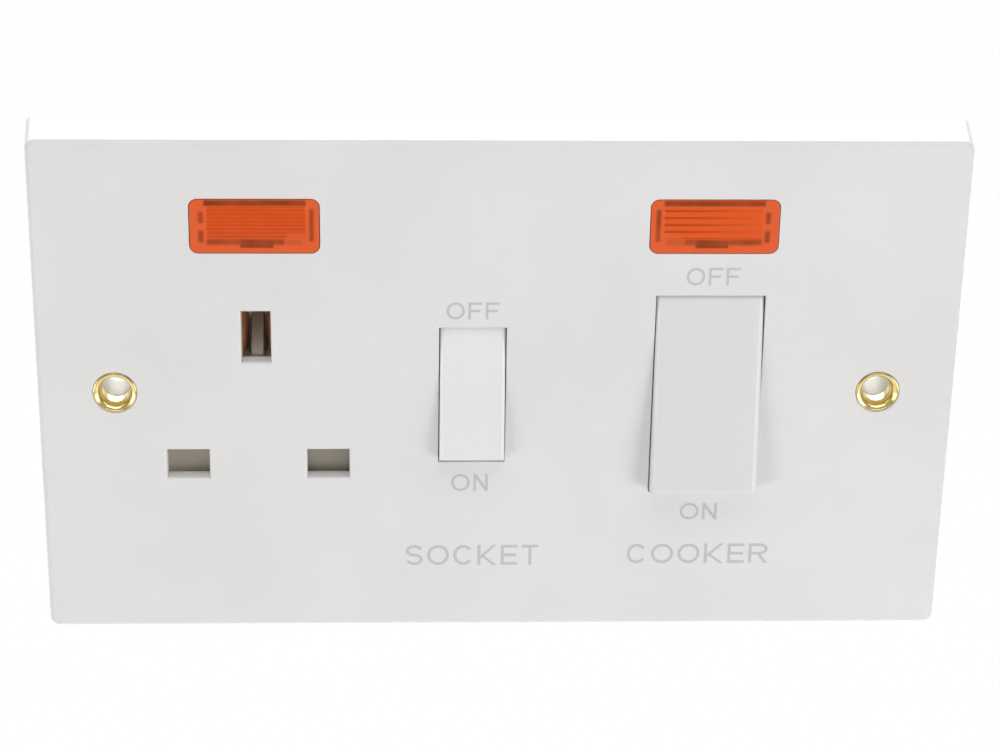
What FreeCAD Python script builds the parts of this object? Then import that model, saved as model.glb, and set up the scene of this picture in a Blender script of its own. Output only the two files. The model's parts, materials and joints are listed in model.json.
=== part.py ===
import FreeCAD, Part
import Sketcher
import math
import os
import re

# Cooker control unit for a two-gang wall box: a 45 A double-pole rocker switch
# with its terminals, and a switched 13 A shuttered socket beside it.
# X runs to the right, Z up, Y into the wall; the wall plane is Y = 0.

doc = FreeCAD.newDocument("cooker_control_unit")
dims = doc.addObject("Spreadsheet::Sheet", "dims")

sizes = [
    ("plate_w", 146.0, "plate width at the wall"),
    ("plate_h", 86.0, "plate height at the wall"),
    ("plate_depth", 9.0, "wall to front face"),
    ("plate_wall", 2.6, "front wall thickness"),
    ("skirt_wall", 2.2, "side wall thickness"),
    ("plate_draft", 0.7, "inward lean of each side"),
    ("plate_corner", 1.5, "corner radius"),
    ("plate_edge", 0.55, "front edge bevel"),
    ("gusset_t", 1.2, "stiffening rib thickness"),
    ("gusset_len", 6.5, "stiffening rib length"),
    ("fix_pitch", 120.6, "distance between the wall screws"),
    ("eyelet_bore", 4.6, "hole through an eyelet"),
    ("eyelet_wall", 0.35, "eyelet tube wall"),
    ("eyelet_rim", 6.8, "eyelet rim diameter"),
    ("eyelet_cone", 1.6, "depth of the eyelet's flared mouth"),
    ("eyelet_proud", 0.1, "eyelet rim above the front face"),
    ("eyelet_roll", 6.4, "diameter of the rolled end"),
    ("eyelet_turn", 0.4, "thickness of the rolled end"),
    ("eyelet_boss", 10.0, "boss round an eyelet"),
    ("lug_w", 8.4, "screw lug width"),
    ("lug_web", 4.0, "web that carries a screw lug"),
    ("seat_gap", 0.05, "gap between parts that sit together"),
    ("slide_gap", 0.2, "gap beside a sliding part"),
    ("rim_gap", 0.14, "eyelet rim to its countersink"),
    ("eyelet_angle", 54.0, "countersink round an eyelet, degrees"),
    ("eyelet_lip", 0.25, "flat lip of an eyelet's mouth"),
    ("wire_room", 0.3, "room round a conductor"),
    ("fuse_in", 0.2, "overlap of features that join"),
    ("cut_over", 1.0, "cut past a surface"),
    ("sock_x", -38.0, "centre of the socket"),
    ("pin_z", -12.7, "height of the live and neutral pins"),
    ("pin_pitch", 22.23, "live to neutral"),
    ("earth_rise", 22.23, "earth pin above the other two"),
    ("pin_slot_w", 6.7, "live and neutral slot width"),
    ("pin_slot_h", 5.1, "live and neutral slot height"),
    ("earth_slot_w", 4.6, "earth slot width"),
    ("earth_slot_h", 8.8, "earth slot height"),
    ("slot_round", 0.5, "rounded edge of a slot"),
    ("switch_z", -0.55, "height of both rocker axes"),
    ("pivot_depth", 3.8, "rocker axis behind the front face"),
    ("rocker_gap", 0.16, "rocker to opening, each side"),
    ("post_gap", 0.3, "rocker to axle post, each side"),
    ("post_half", 2.6, "half height of an axle post"),
    ("rocker_wall", 1.5, "rocker wall thickness"),
    ("trunnion_r", 1.05, "rocker axle radius"),
    ("trunnion_l", 1.3, "rocker axle length"),
    ("sw_x", -4.1, "socket rocker centre"),
    ("sw_w", 10.6, "socket rocker opening width"),
    ("sw_h", 23.6, "socket rocker opening height"),
    ("sw_end", 0.7, "socket rocker end gap when level"),
    ("sw_tilt", 8.0, "socket rocker tilt each way"),
    ("sw_rise", 0.95, "socket rocker face above the plate when level"),
    ("sw_edge", 0.5, "socket rocker edge radius"),
    ("ck_x", 33.0, "cooker rocker centre"),
    ("ck_w", 17.2, "cooker rocker opening width"),
    ("ck_h", 34.6, "cooker rocker opening height"),
    ("ck_end", 0.7, "cooker rocker end gap when level"),
    ("ck_tilt", 7.3, "cooker rocker tilt each way"),
    ("ck_rise", 1.8, "cooker rocker face above the plate when level"),
    ("ck_edge", 0.8, "cooker rocker edge radius"),
    ("end_flare", 0.5, "rocker end wider at the back"),
    ("cap_back", 1.0, "rocker cap stops in front of its axis"),
    ("stem_l", 5.0, "rocker stem behind the axis"),
    ("stem_r", 2.8, "half height of a stem"),
    ("stem_room", 1.5, "stem to the wall between the poles"),
    ("plunger_r", 1.1, "plunger radius"),
    ("plunger_reach", 8.0, "plunger tip behind the rocker axis"),
    ("plunger_in", 2.6, "plunger inner end behind the rocker axis"),
    ("bore_floor", 1.0, "stem bore past the rocker axis"),
    ("run_gap", 0.06, "running gap round a plunger and an axle"),
    ("spring_wire", 0.3, "plunger spring wire"),
    ("blade_t", 1.2, "moving contact thickness"),
    ("blade_w", 5.0, "moving contact width"),
    ("tip_gap", 0.1, "plunger tip to a level moving contact"),
    ("sw_blade", 16.0, "socket moving contact length"),
    ("sw_tip", 6.6, "socket contact tip from its pivot"),
    ("sw_swing", 8.0, "socket moving contact tilt each way"),
    ("ck_blade", 23.0, "cooker moving contact length"),
    ("ck_tip", 10.0, "cooker contact tip from its pivot"),
    ("ck_swing", 8.45, "cooker moving contact tilt each way"),
    ("tip_r", 1.2, "contact tip radius"),
    ("tip_t", 0.8, "contact tip thickness"),
    ("ridge_r", 0.8, "pivot ridge radius"),
    ("ridge_gap", 0.2, "gap in a pivot groove"),
    ("pole_pitch", 11.0, "distance between the two cooker poles"),
    ("pole_wall_end", 2.0, "wall between the poles past a moving contact"),
    ("bar_t", 1.0, "conductor thickness"),
    ("bar_w", 5.6, "conductor width"),
    ("bar_past", 2.0, "conductor past a pivot"),
    ("feed_drop", 8.0, "live link below the rocker axes"),
    ("lens_w", 20.1, "lamp window width"),
    ("lens_h", 9.1, "lamp window height"),
    ("lens_z", 28.4, "lamp window height above centre"),
    ("sock_lens_x", -37.9, "socket lamp window centre"),
    ("lens_corner", 1.4, "lamp window corner radius"),
    ("lens_gap", 0.12, "lens to window, each side"),
    ("lens_lip", 1.0, "lens flange width and thickness"),
    ("lens_wall", 1.1, "lens side wall"),
    ("lens_front", 1.3, "lens front wall"),
    ("field_t", 0.6, "ribbed field behind the lens front"),
    ("lens_post", 2.5, "half height of a lens post"),
    ("lens_groove", 1.2, "dark groove round the ribbed field"),
    ("lens_rib", 0.62, "spacing of the lens ribs"),
    ("lens_rib_h", 0.45, "height of the lens ribs"),
    ("lamp_r", 2.0, "neon lamp radius"),
    ("lamp_l", 11.0, "neon lamp length"),
    ("lamp_room", 2.4, "lens flange to shelf, besides the lamp"),
    ("lamp_shift", 1.5, "neon lamp off the window's middle"),
    ("shelf_drop", 0.6, "lamp shelf below the window"),
    ("resistor_r", 1.2, "resistor radius"),
    ("resistor_l", 6.0, "resistor length"),
    ("lead_r", 0.3, "resistor lead radius"),
    ("lead_l", 2.5, "resistor lead at each end"),
    ("base_set", 3.0, "rear moulding rim in front of the wall"),
    ("tray_w", 109.0, "rear moulding width"),
    ("tray_h", 65.0, "rear moulding height"),
    ("tray_z", 0.5, "rear moulding centre height"),
    ("tray_depth", 11.3, "rim to floor of the rear moulding"),
    ("tray_wall", 1.8, "rear moulding wall"),
    ("floor_t", 2.5, "rear moulding floor"),
    ("shroud_t", 1.2, "wall round a pin contact"),
    ("pillar_r", 3.2, "screw pillar radius"),
    ("pillar_in", 4.6, "screw pillar from the rear moulding's edge"),
    ("left_pillar_z", 18.0, "upper left screw height"),
    ("mid_pillar_x", 14.0, "middle screws"),
    ("tap_r", 1.4, "assembly screw radius"),
    ("tap_head_r", 2.7, "assembly screw head radius"),
    ("tap_head_h", 1.8, "assembly screw head height"),
    ("tap_bite", 2.9, "assembly screw length in the plate"),
    ("clip_t", 0.6, "pin contact thickness"),
    ("clip_w", 5.8, "live and neutral contact width"),
    ("earth_clip_w", 8.8, "earth contact width"),
    ("clip_room", 0.8, "room round a pin contact"),
    ("clip_nip", 1.5, "half gap of a live or neutral contact"),
    ("clip_spread", 0.5, "live or neutral contact wider at its web"),
    ("clip_mouth", 4.6, "length of a contact's flared mouth"),
    ("clip_flare", 1.0, "flare of a contact's mouth"),
    ("well_room", 2.1, "room beside a contact's leaves"),
    ("well_floor", 0.5, "floor behind the live contact"),
    ("earth_nip", 1.4, "half gap of the earth contact"),
    ("earth_web", 14.0, "earth contact web behind the wall plane"),
    ("earth_spread", 1.2, "earth contact wider at its web"),
    ("earth_end", 1.5, "earth contact's end inside its terminals'"),
    ("strap_half", 3.2, "half width of the earth strap at the eyelet"),
    ("strap_tail", 2.5, "earth strap past the eyelet's centre"),
    ("strap_bend", 1.5, "bends of the earth strap beside the rear moulding"),
    ("strap_stop", 1.0, "earth strap's end in front of the web"),
    ("shutter_t", 2.0, "shutter thickness"),
    ("shutter_lap", 0.9, "shutter past a slot"),
    ("spine_w", 1.9, "shutter ramp width"),
    ("ramp_back", 2.5, "top of the ramp behind the wall plane"),
    ("ramp_body", 2.2, "ramp thickness"),
    ("ramp_root", 1.0, "ramp's root below its foot"),
    ("ramp_toe", 0.8, "upright foot of the ramp"),
    ("ramp_heel", 5.0, "back of the ramp above its foot"),
    ("spine_half", 2.5, "half width of the shutter's stem"),
    ("peg_r", 1.0, "shutter spring peg radius"),
    ("peg_l", 3.0, "shutter spring peg length"),
    ("seat_half", 3.0, "half width of the shutter spring's seat"),
    ("seat_h", 2.3, "height of the shutter spring's seat"),
    ("seat_front", 0.6, "spring seat in front of the shutter"),
    ("coil_r", 1.6, "shutter spring mean radius"),
    ("coil_wire", 0.4, "shutter spring wire"),
    ("term_w", 9.6, "terminal width"),
    ("term_l", 11.5, "terminal length"),
    ("term_d", 10.7, "terminal depth"),
    ("term_bore_r", 3.1, "terminal bore radius"),
    ("term_gap", 0.2, "gap round a terminal"),
    ("term_inset", 0.4, "terminal end inside the moulding's edge"),
    ("term_screw_r", 2.0, "terminal screw radius"),
    ("term_head_r", 2.6, "terminal screw head radius"),
    ("term_head_h", 2.0, "terminal screw head height"),
    ("drive_slot", 0.8, "screwdriver slot width"),
    ("housing_wall", 1.4, "terminal housing wall"),
    ("housing_back", 22.2, "terminal housing behind the wall plane"),
    ("earth_x", -5.7, "centre of the two earth terminals"),
    ("earth_term_w", 9.0, "earth terminal width"),
    ("earth_split", 0.3, "half gap between the earth terminals"),
    ("earth_side", 1.2, "room beside the earth terminals"),
    ("earth_term_l", 10.0, "earth terminal length"),
    ("earth_term_d", 8.6, "earth terminal depth"),
    ("earth_bore_r", 2.4, "earth terminal bore radius"),
    ("earth_back", 17.2, "earth housing behind the wall plane"),
]
for row, (alias, number, note) in enumerate(sizes, start=1):
    dims.set("A%d" % row, note)
    dims.set("B%d" % row, str(number))
    dims.setAlias("B%d" % row, alias)
doc.recompute()

alias_pattern = re.compile(r"\b(" + "|".join(entry[0] for entry in sizes) + r")\b")


def tie(text):
    return alias_pattern.sub(r"dims.\1", str(text))


def value(text):
    return float(dims.evalExpression(str(text)))


def bind(obj, prop, text):
    obj.setExpression(prop, tie(text))


def new_body(name):
    return doc.addObject("PartDesign::Body", name)


def origin_plane(body, role):
    return [item for item in body.Origin.OriginFeatures if item.Role == role][0]


def rect(left, right, low, high):
    return [(left, low), (right, low), (right, high), (left, high)]


def block(centre_u, centre_v, width, height):
    return rect("%s - (%s)/2" % (centre_u, width), "%s + (%s)/2" % (centre_u, width),
                "%s - (%s)/2" % (centre_v, height), "%s + (%s)/2" % (centre_v, height))


def disc(centre_u, centre_v, radius):
    return (centre_u, centre_v, radius)


# A regular outline whose flats lie at the given distance from its centre.
def flats(centre_u, centre_v, distance, sides):
    points = []
    for i in range(sides):
        angle = 2 * math.pi * (i + 0.5) / sides
        points.append(("%s + (%s)*%.5f" % (centre_u, distance, math.cos(angle) / math.cos(math.pi / sides)),
                       "%s + (%s)*%.5f" % (centre_v, distance, math.sin(angle) / math.cos(math.pi / sides))))
    return points


def new_sketch(body, name, role, shapes, offset):
    sketch = body.newObject("Sketcher::SketchObject", name)
    sketch.AttachmentSupport = (origin_plane(body, role), [""])
    sketch.MapMode = "FlatFace"
    bind(sketch, "AttachmentOffset.Base.z", offset)
    for shape in shapes:
        first = sketch.GeometryCount
        if isinstance(shape, tuple):
            u, v, radius = shape
            centre = FreeCAD.Vector(value(u), value(v), 0)
            sketch.addGeometry(Part.Circle(centre, FreeCAD.Vector(0, 0, 1), value(radius)))
            pin_point(sketch, first, 3, u, v)
            index = sketch.addConstraint(Sketcher.Constraint("Radius", first, value(radius)))
            bind(sketch, "Constraints[%d]" % index, radius)
            continue
        points = [FreeCAD.Vector(value(u), value(v), 0) for u, v in shape]
        count = len(points)
        for i in range(count):
            sketch.addGeometry(Part.LineSegment(points[i], points[(i + 1) % count]))
        for i in range(count):
            sketch.addConstraint(
                Sketcher.Constraint("Coincident", first + i, 2, first + (i + 1) % count, 1))
        for i, (u, v) in enumerate(shape):
            pin_point(sketch, first + i, 1, u, v)
    return sketch


def pin_point(sketch, geometry, point, u, v):
    for kind, text in (("DistanceX", u), ("DistanceY", v)):
        index = sketch.addConstraint(
            Sketcher.Constraint(kind, -1, 1, geometry, point, value(text)))
        bind(sketch, "Constraints[%d]" % index, text)


# A prism between two planes: along Y from an XZ outline, along X from a YZ
# outline or along Z from an XY outline. A cut takes the same prism away.
def prism(body, name, role, shapes, low, high, cut=False):
    facing = -1 if role == "XZ_Plane" else 1
    start = low if (facing > 0) != cut else high
    offset = "%s(%s)" % ("-" if facing < 0 else "", start)
    sketch = new_sketch(body, name + "_outline", role, shapes, offset)
    kind = "PartDesign::Pocket" if cut else "PartDesign::Pad"
    feature = body.newObject(kind, name)
    feature.Profile = sketch
    bind(feature, "Length", "(%s) - (%s)" % (high, low))
    body.Tip = feature
    return feature


def pad(body, name, shapes, front_y, back_y):
    return prism(body, name, "XZ_Plane", shapes, front_y, back_y)


def pocket(body, name, shapes, front_y, back_y):
    return prism(body, name, "XZ_Plane", shapes, front_y, back_y, cut=True)


def across(body, name, shapes, left_x, right_x, cut=False):
    return prism(body, name, "YZ_Plane", shapes, left_x, right_x, cut)


# A turned piece about an axis along Y, from points of radius and depth.
def turned(body, name, profile):
    sketch = new_sketch(body, name + "_outline", "XY_Plane", [profile], "0")
    feature = body.newObject("PartDesign::Revolution", name)
    feature.Profile = sketch
    feature.ReferenceAxis = (sketch, ["V_Axis"])
    feature.Angle = 360
    body.Tip = feature
    return feature


def dress(body, kind, name, base, edges, amount):
    feature = body.newObject("PartDesign::" + kind, name)
    feature.Base = (base, edges)
    bind(feature, "Radius" if kind == "Fillet" else "Size", amount)
    body.Tip = feature
    return feature


def edges_where(feature, test):
    doc.recompute()
    names = []
    for number, edge in enumerate(feature.Shape.Edges, start=1):
        box = edge.BoundBox
        if test(edge, box):
            names.append("Edge%d" % number)
    return names


def near(a, b):
    return abs(a - b) < 0.01


def solid_box(name, left, right, front, back, low, high):
    obj = doc.addObject("Part::Box", name)
    bind(obj, "Length", "(%s) - (%s)" % (right, left))
    bind(obj, "Width", "(%s) - (%s)" % (back, front))
    bind(obj, "Height", "(%s) - (%s)" % (high, low))
    place(obj, left, front, low)
    return obj


# A bar from a start point along X, Y or Z, round or with a number of flats.
def solid_rod(name, radius, length, x, y, z, along="Y", sides=0):
    obj = doc.addObject("Part::Prism" if sides else "Part::Cylinder", name)
    if sides:
        obj.Polygon = sides
    bind(obj, "Circumradius" if sides else "Radius", radius)
    bind(obj, "Height", length)
    turns = {"X": (FreeCAD.Vector(0, 1, 0), 90), "Y": (FreeCAD.Vector(1, 0, 0), -90),
             "Z": (FreeCAD.Vector(0, 0, 1), 0)}
    obj.Placement.Rotation = FreeCAD.Rotation(*turns[along])
    place(obj, x, y, z)
    return obj


def place(obj, x, y, z):
    bind(obj, "Placement.Base.x", x)
    bind(obj, "Placement.Base.y", y)
    bind(obj, "Placement.Base.z", z)


def joined(name, pieces):
    obj = doc.addObject("Part::MultiFuse", name)
    obj.Shapes = pieces
    obj.Refine = True
    return obj


def less(name, base, tool):
    obj = doc.addObject("Part::Cut", name)
    obj.Base = base
    obj.Tool = tool
    return obj


def grouped(name, pieces):
    obj = doc.addObject("Part::Compound", name)
    obj.Links = pieces
    return obj


def tilt(obj, x, y, z, angle):
    obj.Placement.Rotation = FreeCAD.Rotation(FreeCAD.Vector(1, 0, 0), value(angle))
    bind(obj, "Placement.Rotation.Angle", angle)
    place(obj, x, y, z)


nodes = []


def keep(obj, label):
    obj.Label = label
    nodes.append(obj)
    return obj


# Shared levels and places
front = "(-plate_depth)"
inner = "(plate_wall - plate_depth)"
rim = "(-base_set)"
floor = "(tray_depth - base_set)"
floor_back = "(tray_depth - base_set + floor_t)"
bar_front = "(tray_depth - base_set - bar_t)"
pivot_y = "(pivot_depth - plate_depth)"
blade_y = "(pivot_depth - plate_depth + plunger_reach + tip_gap + blade_t)"
roll_y = "(plate_wall - plate_depth + seat_gap + clip_t)"
live_x = "(sock_x + pin_pitch/2)"
neutral_x = "(sock_x - pin_pitch/2)"
earth_z = "(pin_z + earth_rise)"
left_pole = "(ck_x - pole_pitch/2)"
right_pole = "(ck_x + pole_pitch/2)"
tray_left = "(-tray_w/2)"
tray_right = "(tray_w/2)"
tray_low = "(tray_z - tray_h/2)"
tray_top = "(tray_z + tray_h/2)"
tube_r = "(eyelet_bore/2 + eyelet_wall)"
shutter_front = "(-base_set - slide_gap - shutter_t)"
thread_r = "1.09*(term_screw_r + seat_gap)"
pillars = [
    ("(-tray_w/2 + pillar_in)", "left_pillar_z"),
    ("(-tray_w/2 + pillar_in)", "(tray_z - tray_h/2 + 0.82*pillar_in)"),
    ("mid_pillar_x", "(tray_z - tray_h/2 + pillar_in)"),
    ("mid_pillar_x", "(tray_z + tray_h/2 - pillar_in)"),
    ("(tray_w/2 - pillar_in)", "(tray_z - tray_h/2 + pillar_in)"),
    ("(tray_w/2 - pillar_in)", "(tray_z + tray_h/2 - pillar_in)"),
]


# Front plate: a drafted, open-backed moulding with bosses and ribs behind
plate = new_body("front_plate_body")
shell = plate.newObject("PartDesign::AdditiveWedge", "plate_shell")
for prop, text in (("Ymin", front), ("Ymax", "0"),
                   ("Xmin", "plate_draft - plate_w/2"), ("Xmax", "plate_w/2 - plate_draft"),
                   ("Zmin", "plate_draft - plate_h/2"), ("Zmax", "plate_h/2 - plate_draft"),
                   ("X2min", "-plate_w/2"), ("X2max", "plate_w/2"),
                   ("Z2min", "-plate_h/2"), ("Z2max", "plate_h/2")):
    bind(shell, prop, text)
plate.Tip = shell
corner_edges = edges_where(shell, lambda edge, box: box.YLength > 1)
rounded = dress(plate, "Fillet", "plate_corners", shell, corner_edges, "plate_corner")
face_edges = edges_where(rounded, lambda edge, box: near(box.YMax, value(front)))
dress(plate, "Chamfer", "plate_front_edge", rounded, face_edges, "plate_edge")
inside_w = "plate_w - 2*skirt_wall"
inside_h = "plate_h - 2*skirt_wall"
pocket(plate, "plate_hollow", [block("0", "0", inside_w, inside_h)], inner, "cut_over")
boss_w = "2*(pillar_r - slide_gap)"
pad(plate, "screw_bosses", [block(x, z, boss_w, boss_w) for x, z in pillars],
    inner, rim)
pad(plate, "right_eyelet_boss", [flats("fix_pitch/2", "0", "eyelet_boss/2", 20)], inner, roll_y)
gussets = []
for x in ("-tray_w*0.36", "-tray_w*0.12", "tray_w*0.12", "tray_w*0.36"):
    gussets.append(rect(x + " - gusset_t/2", x + " + gusset_t/2",
                        "plate_h/2 - skirt_wall - gusset_len", "plate_h/2 - skirt_wall + fuse_in"))
    gussets.append(rect(x + " - gusset_t/2", x + " + gusset_t/2",
                        "-plate_h/2 + skirt_wall - fuse_in", "-plate_h/2 + skirt_wall + gusset_len"))
pad(plate, "skirt_ribs", gussets, inner, rim + " - 2*slide_gap")
pocket(plate, "screw_pilots", [flats(x, z, "tap_r + seat_gap", 8) for x, z in pillars],
       rim + " - tap_bite - wire_room", rim + " + cut_over")
pocket(plate, "pin_slots", [
    block(live_x, "pin_z", "pin_slot_w", "pin_slot_h"),
    block(neutral_x, "pin_z", "pin_slot_w", "pin_slot_h"),
    block("sock_x", earth_z, "earth_slot_w", "earth_slot_h"),
], front + " - cut_over", inner + " + cut_over")
pocket(plate, "rocker_openings", [
    block("sw_x", "switch_z", "sw_w", "sw_h"),
    block("ck_x", "switch_z", "ck_w", "ck_h"),
], front + " - cut_over", inner + " + cut_over")
windows = pocket(plate, "lamp_windows", [
    block("sock_lens_x", "lens_z", "lens_w", "lens_h"),
    block("ck_x", "lens_z", "lens_w", "lens_h"),
], front + " - cut_over", inner + " + cut_over")
window_edges = edges_where(windows, lambda edge, box: near(box.YMin, value(front))
                           and near(box.YMax, value(inner))
                           and near(abs(box.ZMin - value("lens_z")), value("lens_h/2")))
eased = dress(plate, "Fillet", "window_corners", windows, window_edges, "lens_corner")
slot_edges = edges_where(eased, lambda edge, box: near(box.YMin, value(front))
                         and near(box.YMax, value(front))
                         and max(box.XLength, box.ZLength) < value("earth_slot_h + seat_gap")
                         and box.XMax < value("sock_x + pin_pitch")
                         and box.XMin > value("sock_x - pin_pitch")
                         and box.ZMax < value(earth_z + " + earth_slot_h"))
dress(plate, "Fillet", "slot_rounds", eased, slot_edges, "slot_round")
eyelet_marks = new_sketch(plate, "eyelet_marks", "XZ_Plane",
                          [disc("-fix_pitch/2", "0", tube_r), disc("fix_pitch/2", "0", tube_r)],
                          "plate_depth")
doc.recompute()
eyelet_holes = plate.newObject("PartDesign::Hole", "eyelet_holes")
eyelet_holes.Profile = eyelet_marks
eyelet_holes.ThreadType = "None"
eyelet_holes.DepthType = "ThroughAll"
eyelet_holes.HoleCutType = "Countersink"
bind(eyelet_holes, "Diameter", "2*(%s + seat_gap)" % tube_r)
eyelet_holes.HoleCutCustomValues = True
bind(eyelet_holes, "HoleCutDiameter", "eyelet_rim + 2*rim_gap")
bind(eyelet_holes, "HoleCutCountersinkAngle", "eyelet_angle")
plate.Tip = eyelet_holes
keep(plate, "front_plate")


# Brass eyelets: flared at the front, rolled over behind the strap or its spacing boss
def eyelet(name, x):
    body = new_body(name)
    turned(body, name + "_tube", [
        ("eyelet_bore/2", front + " + eyelet_cone"),
        ("eyelet_rim/2 - eyelet_lip", front + " - eyelet_proud"),
        ("eyelet_rim/2", front + " - eyelet_proud"),
        (tube_r, front + " + eyelet_cone + seat_gap"),
        (tube_r, roll_y),
        ("eyelet_roll/2", roll_y),
        ("eyelet_roll/2", roll_y + " + eyelet_turn"),
        ("eyelet_bore/2", roll_y + " + eyelet_turn"),
    ])
    place(body, x, "0", "0")
    return body


keep(grouped("eyelet_pair", [eyelet("left_eyelet", "-fix_pitch/2"), eyelet("right_eyelet", "fix_pitch/2")]),
     "fixing_eyelets")


# Lamp lenses: flanged behind the plate, hollow, with a ribbed field inside
def lens(name, x):
    body = new_body(name + "_body")
    body_w = "lens_w - 2*lens_gap"
    body_h = "lens_h - 2*lens_gap"
    lip_y = inner + " + lens_lip"
    window = pad(body, name + "_window", [block(x, "lens_z", body_w, body_h)], front, lip_y)
    corners = edges_where(window, lambda edge, box: box.YLength > 1)
    dress(body, "Fillet", name + "_corners", window, corners, "lens_corner - lens_gap")
    pad(body, name + "_flange",
        [block(x, "lens_z", "lens_w + 2*lens_lip", "lens_h + 2*lens_lip")],
        inner + " + seat_gap", lip_y)
    back = front + " + lens_front"
    field_w = "lens_w - 2*lens_gap - 2*lens_wall - 2*lens_groove"
    field_h = "lens_h - 2*lens_gap - 2*lens_wall - 2*lens_groove"
    pocket(body, name + "_hollow",
           [block(x, "lens_z", "lens_w - 2*lens_gap - 2*lens_wall",
                  "lens_h - 2*lens_gap - 2*lens_wall")], back, lip_y + " + cut_over")
    pad(body, name + "_field", [block(x, "lens_z", field_w, field_h)], back + " - fuse_in",
        back + " + field_t")
    teeth = 7
    crest = back + " + field_t + lens_rib_h"
    valley = back + " + field_t"
    outline = [(valley + " - fuse_in", "lens_z - lens_rib*%s" % (teeth / 2)),
               (valley, "lens_z - lens_rib*%s" % (teeth / 2))]
    for tooth in range(teeth):
        outline.append((crest, "lens_z + lens_rib*%s" % (tooth - teeth / 2 + 0.5)))
        outline.append((valley, "lens_z + lens_rib*%s" % (tooth - teeth / 2 + 1)))
    outline.append((valley + " - fuse_in", "lens_z + lens_rib*%s" % (teeth / 2)))
    across(body, name + "_ribs", [outline], x + " - (%s)/2" % field_w, x + " + (%s)/2" % field_w)
    keep(body, name)


lens("socket_lens", "sock_lens_x")
lens("cooker_lens", "ck_x")


# Rear moulding: a tray with contact wells, axle posts, pillars and terminal housings
base = new_body("rear_base_body")
pad(base, "tray_block", [rect(tray_left, tray_right, tray_low, tray_top)], rim, floor_back)
tray_inside = rect(tray_left + " + tray_wall", tray_right + " - tray_wall",
                   tray_low + " + tray_wall", tray_top + " - tray_wall")
pocket(base, "tray_hollow", [tray_inside], rim + " - cut_over", floor)

clip_half = "(clip_w/2 + clip_room)"
clip_tall = "(clip_nip + clip_t + well_room)"
earth_half = "(earth_nip + clip_t + well_room)"
earth_tall = "(earth_clip_w/2 + clip_room)"
well_wall = " + shroud_t"
shrouds = []
for x in (live_x, neutral_x):
    shrouds.append(rect("%s - %s - shroud_t" % (x, clip_half), x + " + " + clip_half + well_wall,
                        "pin_z - %s - shroud_t" % clip_tall, "pin_z + " + clip_tall + well_wall))
    shrouds.append(rect(x + " - shroud_t/2", x + " + shroud_t/2",
                        tray_low + " + tray_wall - fuse_in", "pin_z - %s - shroud_t" % clip_tall))
shrouds.append(rect("sock_x - %s - shroud_t" % earth_half, "sock_x + " + earth_half + well_wall,
                    earth_z + " - %s - shroud_t" % earth_tall, earth_z + " + " + earth_tall + well_wall))
for number, shape in enumerate(shrouds):
    pad(base, "shroud_%d" % number, [shape], rim, floor + " + fuse_in")
pad(base, "pillars", [block(x, z, "2*pillar_r", "2*pillar_r") for x, z in pillars], rim, floor + " + fuse_in")

pad(base, "middle_wall", [rect("mid_pillar_x - pillar_r - shroud_t", "mid_pillar_x - pillar_r",
                               tray_low + " + tray_wall - fuse_in", tray_top + " - tray_wall + fuse_in")],
    rim + " + cut_over", floor + " + fuse_in")
pad(base, "pole_wall", [block("ck_x", "switch_z", "shroud_t", "ck_blade + 2*pole_wall_end")],
    pivot_y + " + stem_l + stem_room", floor + " + fuse_in")
posts = []
for x, w in (("sw_x", "sw_w"), ("ck_x", "ck_w")):
    near_side = "(%s)/2 - rocker_gap + post_gap" % w
    posts.append(rect("%s + %s" % (x, near_side), "%s + %s + trunnion_l" % (x, near_side),
                      "switch_z - post_half", "switch_z + post_half"))
    posts.append(rect("%s - (%s) - trunnion_l" % (x, near_side), "%s - (%s)" % (x, near_side),
                      "switch_z - post_half", "switch_z + post_half"))
pad(base, "axle_posts", posts, pivot_y, floor + " + fuse_in")
across(base, "axle_saddles", [disc(pivot_y, "switch_z", "trunnion_r + run_gap")],
       tray_left, tray_right, cut=True)

shelf_front = inner + " + lens_lip + seat_gap"
lamp_floor = "(plate_wall - plate_depth + lens_lip + 2*lamp_r + lamp_room)"
for side, x in (("socket", "sock_lens_x"), ("cooker", "ck_x")):
    pad(base, side + "_lamp_shelf",
        [rect(x + " - lens_w/2 - lens_lip", x + " + lens_w/2 + lens_lip",
              "lens_z - lens_h/2 - shelf_drop", tray_top + " - tray_wall + fuse_in")],
        lamp_floor, lamp_floor + " + tray_wall")
    pad(base, side + "_lens_posts",
        [rect(x + " - lens_w/2 - lens_lip", x + " - lens_w/2 + lens_lip", "lens_z - lens_post",
              "lens_z + lens_post"),
         rect(x + " + lens_w/2 - lens_lip", x + " + lens_w/2 + lens_lip", "lens_z - lens_post",
              "lens_z + lens_post")],
        shelf_front, lamp_floor + " + fuse_in")
pad(base, "spring_seat", [rect("sock_x - seat_half", "sock_x + seat_half", tray_low, tray_low + " + seat_h")],
    shutter_front + " - seat_front", floor + " + fuse_in")

# Screw lugs behind the eyelets, on webs from the sides of the rear moulding
lug_front = roll_y + " + eyelet_turn + seat_gap"
pad(base, "lug_webs", [rect(tray_right + " - fuse_in", "fix_pitch/2", "-lug_web/2", "lug_web/2"),
                       rect("-fix_pitch/2", tray_left + " + fuse_in", "-lug_web/2", "lug_web/2")],
    lug_front, "0")
pad(base, "screw_lugs", [flats("-fix_pitch/2", "0", "lug_w/2", 8), flats("fix_pitch/2", "0", "lug_w/2", 8)],
    lug_front, "0")
pocket(base, "lug_holes", [disc("-fix_pitch/2", "0", "eyelet_bore/2"),
                           disc("fix_pitch/2", "0", "eyelet_bore/2")],
       lug_front + " - cut_over", "cut_over")

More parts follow.
